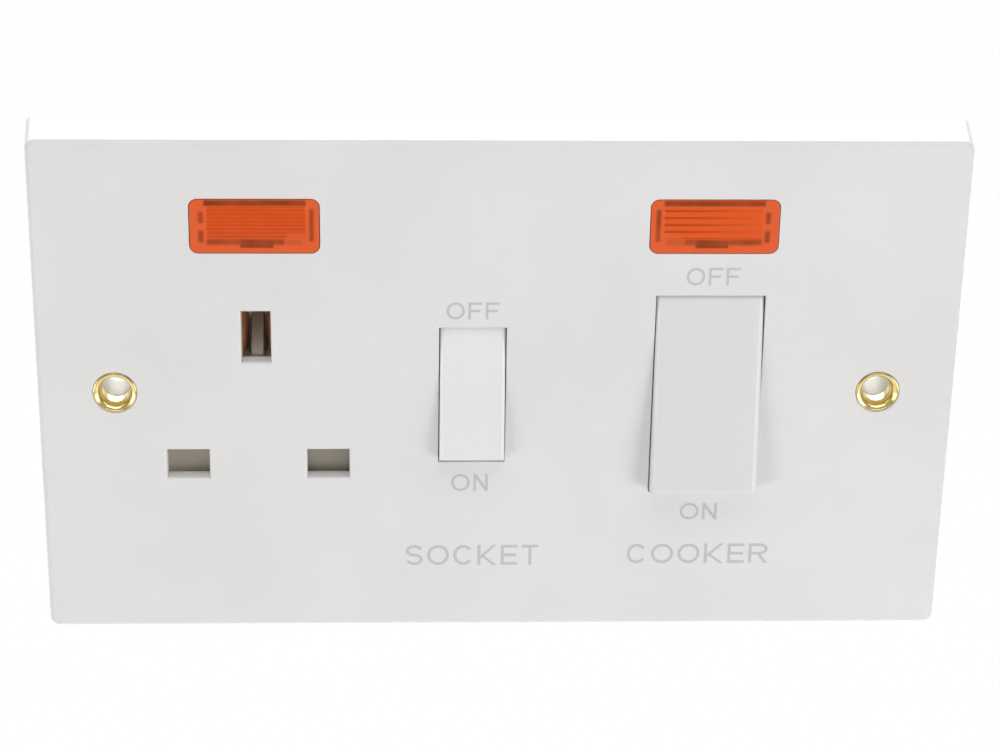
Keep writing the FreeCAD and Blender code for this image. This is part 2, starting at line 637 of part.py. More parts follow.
# Terminal housings, at the bottom for the supply and at the top for the cooker
housing_half = "(pole_pitch/2 + term_w/2 + term_gap + housing_wall)"
low_in = tray_low + " + term_inset + term_l + term_gap"
top_in = tray_top + " - term_inset - term_l - term_gap"
pad(base, "supply_housing", [rect("ck_x - " + housing_half, "ck_x + " + housing_half,
                                  tray_low, low_in + " + housing_wall")],
    floor_back + " - fuse_in", "housing_back")
pad(base, "load_housing", [rect("ck_x - " + housing_half, "ck_x + " + housing_half,
                                top_in + " - housing_wall", tray_top)],
    floor_back + " - fuse_in", "housing_back")
earth_room = "(earth_term_w + earth_side)"
earth_in = tray_top + " - term_inset - earth_term_l - term_gap"
pad(base, "earth_housing", [rect("earth_x - %s - housing_wall" % earth_room,
                                 "earth_x + %s + housing_wall" % earth_room,
                                 earth_in + " - housing_wall", tray_top)],
    floor_back + " - fuse_in", "earth_back")
pad(base, "earth_well", [rect("sock_x - %s - shroud_t" % earth_half, "sock_x + " + earth_half + well_wall,
                              earth_z + " - %s - shroud_t" % earth_tall,
                              earth_z + " + " + earth_tall + well_wall)],
    floor_back + " - fuse_in", "earth_web")
pad(base, "earth_bridge", [rect("sock_x + " + earth_half, "earth_x + " + earth_room,
                                earth_z + " - bar_w/2", earth_z + " + bar_w/2")],
    floor_back + " - fuse_in", "earth_web")

cells = []
for x in (left_pole, right_pole):
    half = "(term_w/2 + term_gap)"
    cells.append(rect("%s - %s" % (x, half), "%s + %s" % (x, half), tray_low + " - cut_over", low_in))
    cells.append(rect("%s - %s" % (x, half), "%s + %s" % (x, half), top_in, tray_top + " + cut_over"))
pocket(base, "terminal_cells", cells, floor, "housing_back + cut_over")
pocket(base, "earth_cell", [rect("earth_x - " + earth_room, "earth_x + " + earth_room,
                                 earth_in, tray_top + " + cut_over")],
       "earth_web - earth_term_d - term_gap", "earth_back + cut_over")
pocket(base, "earth_strap_notch", [rect("earth_x - bar_w", "earth_x + bar_w",
                                        earth_in + " - housing_wall - cut_over", earth_in + " + cut_over")],
       "earth_web", "earth_back + cut_over")

# Contact wells, slots for the conductors and screw holes
pocket(base, "live_well", [block(live_x, "pin_z", "2*" + clip_half, "2*" + clip_tall)],
       rim + " - cut_over", floor_back + " - well_floor")
pocket(base, "neutral_well", [block(neutral_x, "pin_z", "2*" + clip_half, "2*" + clip_tall)],
       rim + " - cut_over", floor_back + " + cut_over")
pocket(base, "earth_contact_well", [block("sock_x", earth_z, "2*" + earth_half, "2*" + earth_tall)],
       rim + " - cut_over", "earth_web + cut_over")
ramp_half = "(spine_w/2 + slide_gap + wire_room)"
pocket(base, "ramp_slot", [rect("sock_x - " + ramp_half, "sock_x + " + ramp_half,
                                earth_z + " - %s - shroud_t - cut_over" % earth_tall, earth_z)],
       rim + " - cut_over", "ramp_back + ramp_body + 2*wire_room")
live_feed_low = "(switch_z - feed_drop)"
live_feed_top = "(switch_z - feed_drop + bar_w*0.75)"
pocket(base, "live_feed_notch", [rect("mid_pillar_x - pillar_r - shroud_t - cut_over",
                                      "mid_pillar_x - pillar_r + cut_over",
                                      live_feed_low + " - wire_room", live_feed_top + " + wire_room")],
       bar_front + " - wire_room", floor)
strap_low = "(switch_z + sw_tip - bar_w*0.5)"
strap_top = "(switch_z + sw_tip + bar_w*0.5)"
pocket(base, "live_well_notch", [rect(live_x + " - bar_w/2 - slide_gap", live_x + " + bar_w/2 + slide_gap",
                                      "pin_z + %s - cut_over" % clip_tall,
                                      "pin_z + %s + shroud_t + cut_over" % clip_tall)],
       bar_front + " - wire_room", floor)
link_low = "(tray_z - tray_h/2 + term_inset + term_l + housing_wall + 2*wire_room)"
pocket(base, "neutral_link_slot", [rect(right_pole + " - bar_w/2 - slide_gap",
                                        right_pole + " + bar_w/2 + slide_gap",
                                        link_low + " - slide_gap", link_low + " + bar_t + slide_gap")],
       floor + " - cut_over", floor_back + " + cut_over")
pocket(base, "screw_holes", [flats(x, z, "tap_r + slide_gap", 8) for x, z in pillars],
       rim + " - cut_over", floor_back + " + cut_over")
keep(base, "rear_base")


# Pin contacts: sprung U-shaped clips that open where a pin goes in
def clip_outline(web_y, mouth_y, nip, spread):
    bend = "(%s + clip_mouth)" % mouth_y
    outer = [(web_y, spread + " + clip_t"), (bend, nip + " + clip_t"),
             (mouth_y, nip + " + clip_t + clip_flare")]
    inner_side = [(mouth_y, nip + " + clip_flare"), (bend, nip), (web_y + " - clip_t", spread)]
    upper = outer + inner_side
    lower = [(y, "-(%s)" % z) for y, z in reversed(upper)]
    return upper + lower


def pin_clip(name, x, web_y):
    body = new_body(name)
    outline = clip_outline(web_y, rim + " + 2*wire_room", "clip_nip", "(clip_nip + clip_spread)")
    outline = [(y, "pin_z + (%s)" % z) for y, z in outline]
    across(body, name + "_form", [outline], "%s - clip_w/2" % x, "%s + clip_w/2" % x)
    return body


neutral_clip = pin_clip("neutral_clip", neutral_x, floor_back)
keep(neutral_clip, "neutral_contact")
live_clip = pin_clip("live_clip", live_x, floor_back + " - well_floor")
live_leg = solid_box("live_leg", live_x + " - bar_w/2", live_x + " + bar_w/2", bar_front, floor,
                     "pin_z + clip_nip + clip_t*0.5 + clip_spread - seat_gap", strap_top)
live_run = solid_box("live_run", live_x + " - bar_w/2", "sw_x + blade_w/2", bar_front, floor,
                     strap_low, strap_top)
keep(joined("live_contact_solid", [live_clip, live_leg, live_run]), "live_contact")

earth_clip = new_body("earth_clip")
earth_form = clip_outline("earth_web + clip_t", inner + " + slide_gap", "earth_nip",
                          "(earth_nip + earth_spread)")
prism(earth_clip, "earth_form", "XY_Plane", [[("sock_x + (%s)" % z, y) for y, z in earth_form]],
      earth_z + " - earth_clip_w/2", earth_z + " + earth_clip_w/2")
earth_arm = solid_box("earth_arm", "sock_x", "earth_x + bar_w", "earth_web", "earth_web + clip_t",
                      earth_z + " - bar_w/2 + 2*slide_gap", earth_z + " + bar_w/2 - 2*slide_gap")
earth_plate = solid_box("earth_plate", "earth_x - bar_w + wire_room", "earth_x + bar_w - wire_room",
                        "earth_web", "earth_web + clip_t", earth_z, tray_top + " - term_inset - earth_end")
earth_wings = solid_box("earth_wings", "earth_x - earth_term_w", "earth_x + earth_term_w", "earth_web",
                        "earth_web + clip_t", earth_in + " + 2*wire_room",
                        tray_top + " - term_inset - earth_end")
earth_raw = joined("earth_raw", [earth_clip, earth_arm, earth_plate, earth_wings])
earth_left = "(earth_x - earth_term_w/2 - earth_split)"
earth_right = "(earth_x + earth_term_w/2 + earth_split)"
earth_mid = "(tray_z + tray_h/2 - term_inset - earth_term_l/2)"
strap_holes = grouped("earth_strap_holes", [
    solid_rod(name, thread_r, "clip_t + 2*cut_over", x, "earth_web - cut_over", earth_mid, sides=8)
    for name, x in (("earth_hole_left", earth_left), ("earth_hole_right", earth_right))])
keep(less("earth_contact_solid", earth_raw, strap_holes), "earth_contact")

# Earth strap: from the left eyelet into the earth contact's well
strap = new_body("earth_strap_body")
strap_front = roll_y + " - clip_t"
fold_x = "(sock_x - earth_nip - clip_t - earth_spread - clip_t - seat_gap)"
tab_low = "(pin_z + earth_rise - earth_clip_w*0.42)"
tab_top = "(pin_z + earth_rise + earth_clip_w*0.22)"
pad(strap, "strap_sheet", [[("-fix_pitch/2 - strap_tail", "strap_half"), ("-tray_w/2 - strap_bend", tab_top),
                            (fold_x + " + clip_t", tab_top), (fold_x + " + clip_t", tab_low),
                            ("-tray_w/2 + strap_bend", tab_low), ("-fix_pitch/2 + strap_tail", "-strap_half"),
                            ("-fix_pitch/2 - strap_tail", "-strap_half")]], strap_front, roll_y)
ring_room = "plate_w/2 - skirt_wall - fix_pitch/2 - slide_gap"
ring_r = "min(eyelet_boss/2 - 2*slide_gap; " + ring_room + ")"
pad(strap, "strap_ring", [flats("-fix_pitch/2", "0", ring_r, 16)], strap_front, roll_y)
pad(strap, "strap_fold", [rect(fold_x, fold_x + " + clip_t", tab_low, tab_top)], strap_front,
    "earth_web - strap_stop")
pocket(strap, "strap_hole", [flats("-fix_pitch/2", "0", tube_r + " + seat_gap", 16)],
       strap_front + " - cut_over", roll_y + " + cut_over")
keep(strap, "earth_strap")


# Supply conductors with the knife-edge pivots that carry the moving contacts
def pivot_post(name, x):
    stand = solid_box(name + "_stand", "%s - blade_w/2" % x, "%s + blade_w/2" % x, blade_y,
                      bar_front + " + fuse_in", "switch_z - ridge_r", "switch_z + ridge_r")
    edge = solid_rod(name + "_edge", "ridge_r", "blade_w", "%s - blade_w/2" % x, blade_y, "switch_z", "X")
    return [stand, edge]


def supply_bar(name, x):
    return solid_box(name, "%s - bar_w/2" % x, "%s + bar_w/2" % x, bar_front, floor,
                     tray_low + " + tray_wall + seat_gap", "switch_z + bar_past")


live_parts = [supply_bar("live_supply", left_pole)]
live_parts += pivot_post("live_pivot", left_pole)
live_parts += pivot_post("socket_pivot", "sw_x")
live_parts.append(solid_box("live_feed", "sw_x - blade_w/2", left_pole, bar_front, floor,
                            live_feed_low, live_feed_top))
live_parts.append(solid_box("live_feed_end", "sw_x - blade_w/2", "sw_x + blade_w/2", bar_front, floor,
                            live_feed_low, "switch_z + bar_past"))
keep(joined("live_busbar_solid", live_parts), "live_busbar")

link_top = link_low + " + bar_w*0.7"
run_top = "(pin_z - %s - shroud_t - 2*wire_room)" % clip_tall
run_low = run_top + " - bar_w*0.7"
neutral_parts = [supply_bar("neutral_supply", right_pole)]
neutral_parts += pivot_post("neutral_pivot", right_pole)
neutral_parts.append(solid_box("neutral_riser", right_pole + " - bar_w/2", right_pole + " + bar_w/2",
                               bar_front, floor_back + " + bar_t", link_low, link_low + " + bar_t"))
neutral_parts.append(solid_box("neutral_cross", "mid_pillar_x - pillar_r - bar_w", right_pole + " + bar_w/2",
                               floor_back, floor_back + " + bar_t", link_low, link_top))
neutral_parts.append(solid_box("neutral_step", "mid_pillar_x - pillar_r - bar_w", "mid_pillar_x - pillar_r",
                               floor_back, floor_back + " + bar_t", run_low, link_top))
neutral_parts.append(solid_box("neutral_run", neutral_x + " - bar_w/2", "mid_pillar_x - pillar_r",
                               floor_back, floor_back + " + bar_t", run_low, run_top))
neutral_parts.append(solid_box("neutral_end", neutral_x + " - bar_w/2", neutral_x + " + bar_w/2",
                               floor_back, floor_back + " + bar_t", run_low, "pin_z + clip_nip + clip_t"))
keep(joined("neutral_busbar_solid", neutral_parts), "neutral_busbar")


# Cooker-side conductors and the fixed contact tips
def load_bar(name, x):
    bar = solid_box(name + "_bar", "%s - bar_w/2" % x, "%s + bar_w/2" % x, bar_front, floor,
                    "switch_z + ck_tip - bar_w/2", tray_top + " - tray_wall - seat_gap")
    keep(bar, name)


load_bar("live_load_bar", left_pole)
load_bar("neutral_load_bar", right_pole)


def fixed_tip(name, x, tip, swing):
    tip_front = "(%s + tip_t*cos(%s) + (%s + tip_r)*sin(%s) + seat_gap)" % (blade_y, swing, tip, swing)
    rod = solid_rod(name + "_rod", "tip_r", bar_front + " - " + tip_front, x, tip_front, "switch_z + " + tip,
                    sides=12)
    keep(rod, name)


fixed_tip("socket_fixed_tip", "sw_x", "sw_tip", "sw_swing")
fixed_tip("live_fixed_tip", left_pole, "ck_tip", "ck_swing")
fixed_tip("neutral_fixed_tip", right_pole, "ck_tip", "ck_swing")


# Terminals: bored blocks for the cables, with clamping screws from behind
def terminal(name, x, low, width, length, block_front, block_back, bore_r, bore_y, screw_z):
    blank = solid_box(name + "_blank", "%s - (%s)/2" % (x, width), "%s + (%s)/2" % (x, width),
                      block_front, block_back, low, "(%s) + %s" % (low, length))
    cuts = [solid_rod(name + "_bore", bore_r, length + " + 2*cut_over", x, bore_y,
                      "(%s) - cut_over" % low, "Z")]
    for number, z in enumerate(screw_z):
        cuts.append(solid_rod("%s_thread_%d" % (name, number), thread_r,
                              "(%s) - (%s) + cut_over" % (block_back, bore_y), x, bore_y, z, sides=8))
    tools = joined(name + "_cuts", cuts)
    keep(less(name + "_solid", blank, tools), name)


def clamp_screw(name, x, z, tip_y, seat_y):
    shank = solid_rod(name + "_shank", "term_screw_r", "(%s) - (%s)" % (seat_y, tip_y), x, tip_y, z, sides=8)
    head = solid_rod(name + "_head", "term_head_r", "term_head_h", x, seat_y, z, sides=8)
    screw = joined(name + "_whole", [shank, head])
    slot = solid_box(name + "_slot", "%s - term_head_r - cut_over" % x, "%s + term_head_r + cut_over" % x,
                     "(%s) + term_head_h*0.5" % seat_y, "(%s) + term_head_h + cut_over" % seat_y,
                     "%s - drive_slot/2" % z, "%s + drive_slot/2" % z)
    return less(name, screw, slot)


block_back = "(%s + term_d)" % floor
bore_y = "(%s + term_d*0.55)" % floor
supply_low = "(tray_z - tray_h/2 + term_inset)"
load_low = "(tray_z + tray_h/2 - term_inset - term_l)"
clamp_screws = []
for name, x, low in (("live_in_terminal", left_pole, supply_low),
                     ("neutral_in_terminal", right_pole, supply_low),
                     ("live_out_terminal", left_pole, load_low),
                     ("neutral_out_terminal", right_pole, load_low)):
    screw_z = ["(%s + term_l*0.26)" % low, "(%s + term_l*0.74)" % low]
    terminal(name, x, low, "term_w", "term_l", floor, block_back, "term_bore_r", bore_y, screw_z)
    for number, z in enumerate(screw_z):
        clamp_screws.append(clamp_screw("%s_screw_%d" % (name, number), x, z,
                                        bore_y + " + term_bore_r + 2*seat_gap", block_back + " + 2*seat_gap"))
keep(grouped("terminal_screw_set", clamp_screws), "terminal_screws")

earth_low = "(tray_z + tray_h/2 - term_inset - earth_term_l)"
earth_bore_y = "(earth_web - earth_term_d*0.52)"
earth_screws = []
for name, x in (("earth_in_terminal", earth_left), ("earth_out_terminal", earth_right)):
    terminal(name, x, earth_low, "earth_term_w", "earth_term_l", "earth_web - earth_term_d", "earth_web",
             "earth_bore_r", earth_bore_y, [earth_mid])
    earth_screws.append(clamp_screw(name + "_screw", x, earth_mid,
                                    earth_bore_y + " + earth_bore_r + 2*seat_gap", "earth_web + clip_t"))
keep(grouped("earth_screw_set", earth_screws), "earth_screws")


# Screws that hold the rear moulding to the plate
def assembly_screw(name, x, z):
    shank = solid_rod(name + "_shank", "tap_r", "%s - %s + tap_bite" % (floor_back, rim), x,
                      rim + " - tap_bite", z, sides=8)
    head = solid_rod(name + "_head", "tap_head_r", "tap_head_h", x, floor_back, z, sides=8)
    return joined(name, [shank, head])


tap_screws = []
for number, (x, z) in enumerate(pillars):
    tap_screws.append(assembly_screw("assembly_screw_%d" % number, x, z))
keep(grouped("assembly_screw_set", tap_screws), "assembly_screws")


# Neon lamps and their resistors, lying on the shelves behind the lenses
def neon(side, x):
    lamp = solid_rod(side + "_lamp_glass", "lamp_r", "lamp_l", x + " - lamp_l/2 + lamp_shift",
                     lamp_floor + " - lamp_r - seat_gap", "lens_z + wire_room", "X")
    keep(lamp, side + "_neon_lamp")
    resistor_z = "(lens_z - slide_gap - lamp_r - resistor_r)"
    level = lamp_floor + " - resistor_r - seat_gap"
    barrel = solid_rod(side + "_resistor_barrel", "resistor_r", "resistor_l", x + " - resistor_l/2", level,
                       resistor_z, "X", sides=12)
    wire = solid_rod(side + "_resistor_wire", "lead_r", "resistor_l + 2*lead_l",
                     x + " - resistor_l/2 - lead_l", level, resistor_z, "X", sides=8)
    keep(joined(side + "_resistor_whole", [barrel, wire]), side + "_neon_resistor")


neon("socket", "sock_lens_x")
neon("cooker", "ck_x")


# Rockers: hollow caps with axles at the sides and bored stems for the plungers
def rocker(name, x, w, tall, end, rise, edge, angle, stems):
    body = new_body(name + "_body")
    half_w = "((%s)/2 - rocker_gap)" % w
    half_l = "((%s)/2 - %s)" % (tall, end)
    face = "-(pivot_depth + %s)" % rise
    cap = across(body, name + "_cap", [[(face, "-" + half_l), (face, half_l),
                                        ("-cap_back", half_l + " + end_flare"),
                                        ("-cap_back", "-" + half_l + " - end_flare")]],
                 "-" + half_w, half_w)
    face_y = value(face)
    cap_edges = edges_where(cap, lambda item, box: near(box.YMin, face_y) and near(box.YMax, face_y))
    dress(body, "Fillet", name + "_soft_edge", cap, cap_edges, edge)
    hollow = []
    for side in ("-", ""):
        near_end = "%s(stem_r + 2*wire_room)" % side
        far_end = "%s(%s - rocker_wall)" % (side, half_l)
        low, high = (far_end, near_end) if side else (near_end, far_end)
        hollow.append(rect("-%s + rocker_wall" % half_w, half_w + " - rocker_wall", low, high))
    pocket(body, name + "_hollow", hollow, face + " + rocker_wall", "0")
    root = "-(cap_back + fuse_in)"
    for number, (left, right) in enumerate(stems):
        pad(body, "%s_stem_%d" % (name, number), [rect(left, right, "-stem_r", "stem_r")],
            root, "stem_l")
    pad(body, name + "_ears", [rect("-" + half_w, "-%s + rocker_wall" % half_w, "-stem_r", "stem_r"),
                               rect(half_w + " - rocker_wall", half_w, "-stem_r", "stem_r")],
        root, "trunnion_r + 2*wire_room")
    across(body, name + "_axles", [disc("0", "0", "trunnion_r")], "-%s - trunnion_l" % half_w,
           "-%s + fuse_in" % half_w)
    across(body, name + "_axles_right", [disc("0", "0", "trunnion_r")], half_w + " - fuse_in",
           half_w + " + trunnion_l")
    bores = [flats("(%s + %s)/2" % (left, right), "0", "plunger_r + run_gap", 12) for left, right in stems]
    pocket(body, name + "_bores", bores, "-bore_floor", "stem_l + cut_over")
    tilt(body, x, pivot_y, "switch_z", "-" + angle)
    keep(body, name)


def plunger(name, x, offset, angle):
    body = new_body(name + "_body")
    pin = pad(body, name + "_pin", [flats("0", "0", "plunger_r*0.96", 12)], "plunger_in", "plunger_reach")
    nose_edges = edges_where(pin, lambda edge, box: near(box.YMin, value("plunger_reach")))
    dress(body, "Chamfer", name + "_nose", pin, nose_edges, "plunger_r*0.55")
    tilt(body, "%s + %s" % (x, offset), pivot_y, "switch_z", "-" + angle)
    keep(body, name)


def coil(name, radius, wire, length, turns, where):
    pitch = (value(length) - value(wire)) / turns
    half = value(wire) / 2
    mid = value(radius)
    steps = 8
    sections = []
    for i in range(turns * steps + 1):
        angle = 2 * math.pi * i / steps
        height = pitch * i / steps
        ring = []
        for out, up in ((-half, -half), (half, -half), (half, half), (-half, half), (-half, -half)):
            reach = mid + out
            ring.append(FreeCAD.Vector(reach * math.cos(angle), reach * math.sin(angle), height + up))
        sections.append(Part.makePolygon(ring))
    obj = doc.addObject("Part::Feature", name + "_coil")
    obj.Shape = Part.makeLoft(sections, True, True)
    obj.Placement = where.multiply(FreeCAD.Placement(FreeCAD.Vector(0, 0, half), FreeCAD.Rotation()))
    keep(obj, name)


def plunger_spring(name, x, offset, angle):
    turn = FreeCAD.Rotation(FreeCAD.Vector(1, 0, 0), -value(angle))
    pivot = FreeCAD.Vector(value("%s + %s" % (x, offset)), value(pivot_y), value("switch_z"))
    along = FreeCAD.Placement(FreeCAD.Vector(0, value("seat_gap - bore_floor"), 0),
                              FreeCAD.Rotation(FreeCAD.Vector(1, 0, 0), -90))
    coil(name, "plunger_r - spring_wire", "spring_wire", "plunger_in + bore_floor - 2*seat_gap", 4,
         FreeCAD.Placement(pivot, turn).multiply(along))


rocker("socket_rocker", "sw_x", "sw_w", "sw_h", "sw_end", "sw_rise", "sw_edge", "sw_tilt",
       [("-(sw_w/2 - rocker_gap)", "(sw_w/2 - rocker_gap)")])
rocker("cooker_rocker", "ck_x", "ck_w", "ck_h", "ck_end", "ck_rise", "ck_edge", "ck_tilt",
       [("-(pole_pitch/2 + stem_r)", "-(pole_pitch/2 - stem_r)"),
        ("(pole_pitch/2 - stem_r)", "(pole_pitch/2 + stem_r)")])
for name, x, offset, angle in (("socket", "sw_x", "0", "sw_tilt"),
                               ("live", "ck_x", "-pole_pitch/2", "ck_tilt"),
                               ("neutral", "ck_x", "pole_pitch/2", "ck_tilt")):
    plunger(name + "_plunger", x, "(%s)" % offset, angle)
    plunger_spring(name + "_plunger_spring", x, "(%s)" % offset, angle)


# Moving contacts: rocking blades, grooved where they sit on the knife edges
def blade(name, x, length, tip, swing):
    strip = solid_box(name + "_strip", "-blade_w/2", "blade_w/2", "-blade_t", "0",
                      "-(%s)/2" % length, "(%s)/2" % length)
    groove = solid_rod(name + "_groove", "ridge_r + ridge_gap", "blade_w + 2*cut_over",
                       "-blade_w/2 - cut_over", "0", "0", "X")
    solid = less(name + "_solid", strip, groove)
    tilt(solid, x, blade_y, "switch_z", swing)
    keep(solid, name)
    button = new_body(name + "_tip_body")
    pad(button, name + "_tip_button", [flats("0", tip, "tip_r*0.96", 12)], "0", "tip_t")
    tilt(button, x, blade_y, "switch_z", swing)
    keep(button, name + "_tip")


blade("socket_blade", "sw_x", "sw_blade", "sw_tip", "sw_swing")
blade("live_blade", left_pole, "ck_blade", "ck_tip", "ck_swing")
blade("neutral_blade", right_pole, "ck_blade", "ck_tip", "ck_swing")


# Shutter: covers the live and neutral slots; the earth pin drives its ramp down
shutter = new_body("shutter_body")
bar_low = "(pin_z - pin_slot_h/2 - shutter_lap)"
bar_top = "(pin_z + pin_slot_h/2 + shutter_lap)"
ramp_low = "(pin_z + earth_rise - earth_slot_h/2 - shutter_lap)"
ramp_top = "(pin_z + earth_rise + earth_slot_h/2 + 2*seat_gap)"
shutter_back = rim + " - slide_gap"
pad(shutter, "shutter_bar", [rect(neutral_x + " - pin_slot_w/2 - shutter_lap",
                                  live_x + " + pin_slot_w/2 + shutter_lap", bar_low, bar_top)],
    shutter_front, shutter_back)
pad(shutter, "shutter_stem", [rect("sock_x - spine_half", "sock_x + spine_half", bar_low, ramp_low)],
    shutter_front, shutter_back)
across(shutter, "shutter_ramp", [[(shutter_front, ramp_low + " - ramp_root"),
                                  (shutter_front, ramp_low + " + ramp_toe"),
                                  ("ramp_back", ramp_top), ("ramp_back + ramp_body", ramp_top),
                                  ("ramp_back + ramp_body", ramp_low + " + ramp_heel"),
                                  (shutter_back, ramp_low + " - ramp_root")]],
       "sock_x - spine_w/2", "sock_x + spine_w/2")
peg_y = "(-base_set - slide_gap - shutter_t/2)"
prism(shutter, "spring_peg", "XY_Plane", [disc("sock_x", peg_y, "peg_r")],
      bar_low + " - peg_l", bar_low + " + fuse_in")
keep(shutter, "shutter")
seat_top = value(tray_low + " + seat_h")
coil_base = FreeCAD.Vector(value("sock_x"), value(peg_y), seat_top + value("seat_gap"))
coil("shutter_spring", "coil_r", "coil_wire", "%s - (%s) - 2*seat_gap" % (bar_low, tray_low + " + seat_h"), 5,
     FreeCAD.Placement(coil_base, FreeCAD.Rotation()))


doc.recompute()
os.makedirs("parts", exist_ok=True)
for item in doc.Objects:
    for state in item.State:
        if state in ("Invalid", "Error"):
            raise RuntimeError("%s is %s" % (item.Name, state))
for node in nodes:
    if node.Shape.isNull() or not node.Shape.isValid():
        raise RuntimeError("%s has no valid shape" % node.Label)
    node.Shape.exportStep("parts/%s.step" % node.Label)
print("%d nodes written" % len(nodes))
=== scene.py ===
import json
import math

import bmesh
import bpy
import numpy as np
from mathutils import Matrix, Vector


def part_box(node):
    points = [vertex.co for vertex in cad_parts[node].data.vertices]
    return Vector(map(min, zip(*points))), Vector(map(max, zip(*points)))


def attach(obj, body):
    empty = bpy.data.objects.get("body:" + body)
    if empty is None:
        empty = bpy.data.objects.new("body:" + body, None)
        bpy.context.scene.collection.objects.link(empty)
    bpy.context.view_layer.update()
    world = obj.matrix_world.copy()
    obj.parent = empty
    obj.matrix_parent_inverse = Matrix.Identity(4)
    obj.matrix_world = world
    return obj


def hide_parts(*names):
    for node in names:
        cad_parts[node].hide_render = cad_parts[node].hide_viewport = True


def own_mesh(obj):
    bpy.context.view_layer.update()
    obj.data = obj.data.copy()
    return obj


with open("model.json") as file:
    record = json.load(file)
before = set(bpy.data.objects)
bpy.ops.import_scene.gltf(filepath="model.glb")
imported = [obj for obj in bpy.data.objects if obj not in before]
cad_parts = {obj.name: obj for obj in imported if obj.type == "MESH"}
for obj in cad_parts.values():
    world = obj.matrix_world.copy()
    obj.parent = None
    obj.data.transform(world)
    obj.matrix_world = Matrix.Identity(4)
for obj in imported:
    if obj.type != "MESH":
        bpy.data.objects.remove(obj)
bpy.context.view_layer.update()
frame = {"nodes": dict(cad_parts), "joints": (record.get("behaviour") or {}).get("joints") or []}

nodes = frame["nodes"]
joints = {j["name"]: j for j in frame["joints"]}
mm = 0.001


# small helpers for meshes
def gridFaces(rows, cols, wrapRows=False, wrapCols=False):
    # quads between neighbours on a rows by cols grid; a wrapped side joins its last line to its first
    i, j = np.meshgrid(np.arange(rows if wrapRows else rows - 1),
                       np.arange(cols if wrapCols else cols - 1), indexing="ij")
    iNext, jNext = (i + 1) % rows, (j + 1) % cols
    corners = [i * cols + j, iNext * cols + j, iNext * cols + jNext, i * cols + jNext]
    return np.stack(corners, -1).reshape(-1, 4)


def tubeFaces(rows, count):
    # a grid that closes round its columns, with its first and its last ring filled in
    last = (rows - 1) * count
    sides = gridFaces(rows, count, wrapCols=True).tolist()
    return [*sides, list(range(count)), list(range(last, last + count))]


def newPiece(name, points, faces, smooth=True):
    # a mesh object with its doubled points merged and its faces turned outwards
    mesh = bpy.data.meshes.new(name)
    mesh.from_pydata(np.asarray(points, float).reshape(-1, 3).tolist(), [], [list(f) for f in faces])
    bm = bmesh.new()
    bm.from_mesh(mesh)
    bmesh.ops.remove_doubles(bm, verts=bm.verts, dist=1e-8)
    bmesh.ops.recalc_face_normals(bm, faces=bm.faces)
    bm.to_mesh(mesh)
    bm.free()
    mesh.polygons.foreach_set("use_smooth", np.full(len(mesh.polygons), smooth))
    piece = bpy.data.objects.new(name, mesh)
    bpy.context.scene.collection.objects.link(piece)
    return piece


def repeated(points, faces, places):
    # the same small mesh set down at several places, as one list of points and faces
    points = np.asarray(points, float).reshape(-1, 3)
    allPoints = (np.asarray(places, float)[:, None, :] + points[None]).reshape(-1, 3)
    allFaces = [[k + n * len(points) for k in face] for n in range(len(places)) for face in faces]
    return allPoints, allFaces


def joinMeshes(pairs):
    # several lists of points and faces as one
    points, faces, count = [], [], 0
    for spots, sides in pairs:
        points.append(np.asarray(spots, float))
        faces += [[k + count for k in side] for side in sides]
        count += len(spots)
    return np.concatenate(points), faces


def scaled(pair):
    # points drawn in mm, brought to metres
    points, faces = pair
    return points * mm, faces


def turned(profile, count, closed=False):
    # each (radius, depth) of the profile goes round the Y axis: x = r cos a, y = depth, z = r sin a
    r, depth = np.asarray(profile, float).T
    a = np.linspace(0, 2 * np.pi, count, endpoint=False)
    rings = [r[:, None] * np.cos(a), np.repeat(depth[:, None], count, 1), r[:, None] * np.sin(a)]
    if closed:
        faces = gridFaces(len(r), count, wrapRows=True, wrapCols=True).tolist()
    else:
        faces = tubeFaces(len(r), count)
    return np.stack(rings, -1).reshape(-1, 3), faces


def spotsOf(node):
    # the corner points of a CAD node, as rows of x, y and z
    mesh = nodes[node].data
    spots = np.empty(len(mesh.vertices) * 3)
    mesh.vertices.foreach_get("co", spots)
    return spots.reshape(-1, 3)


def islandBoxes(node, step=1e-6):
    # lowest and highest corner of each separate solid, found by spreading the least label over the faces
    mesh = nodes[node].data
    keys, same = np.unique(np.round(spotsOf(node) / step).astype(np.int64), axis=0, return_inverse=True)
    corners = np.empty(len(mesh.loops), np.int32)
    mesh.loops.foreach_get("vertex_index", corners)
    tris = same.reshape(-1)[corners].reshape(-1, 3)
    label = np.arange(len(keys))
    settled = False
    while not settled:
        before = label.copy()
        np.minimum.at(label, tris, label[tris].min(1, keepdims=True).repeat(3, 1))
        settled = (before == label).all()
    found = keys * step
    return [(found[label == n].min(0), found[label == n].max(0)) for n in np.unique(label)]


def cutAway(piece, cutter):
    # takes the cutter's shape out of the piece for good, and drops the cutter
    change = piece.modifiers.new("cut", "BOOLEAN")
    change.operation = "DIFFERENCE"
    change.solver = "EXACT"
    change.object = cutter
    bpy.context.view_layer.update()
    ready = bpy.data.meshes.new_from_object(piece.evaluated_get(bpy.context.evaluated_depsgraph_get()))
    piece.modifiers.clear()
    piece.data = ready
    bpy.data.objects.remove(cutter)


def dress(piece, material, body, slot, *stoodFor):
    # a finished piece gets its material, the body that it rides on and the CAD nodes that it stands for
    piece.data.materials.clear()
    piece.data.materials.append(material)
    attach(piece, body)
    if stoodFor:
        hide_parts(*stoodFor)


def paint(material, *names):
    # CAD nodes keep their mesh and get a material
    for name in names:
        nodes[name].data.materials.clear()
        nodes[name].data.materials.append(material)


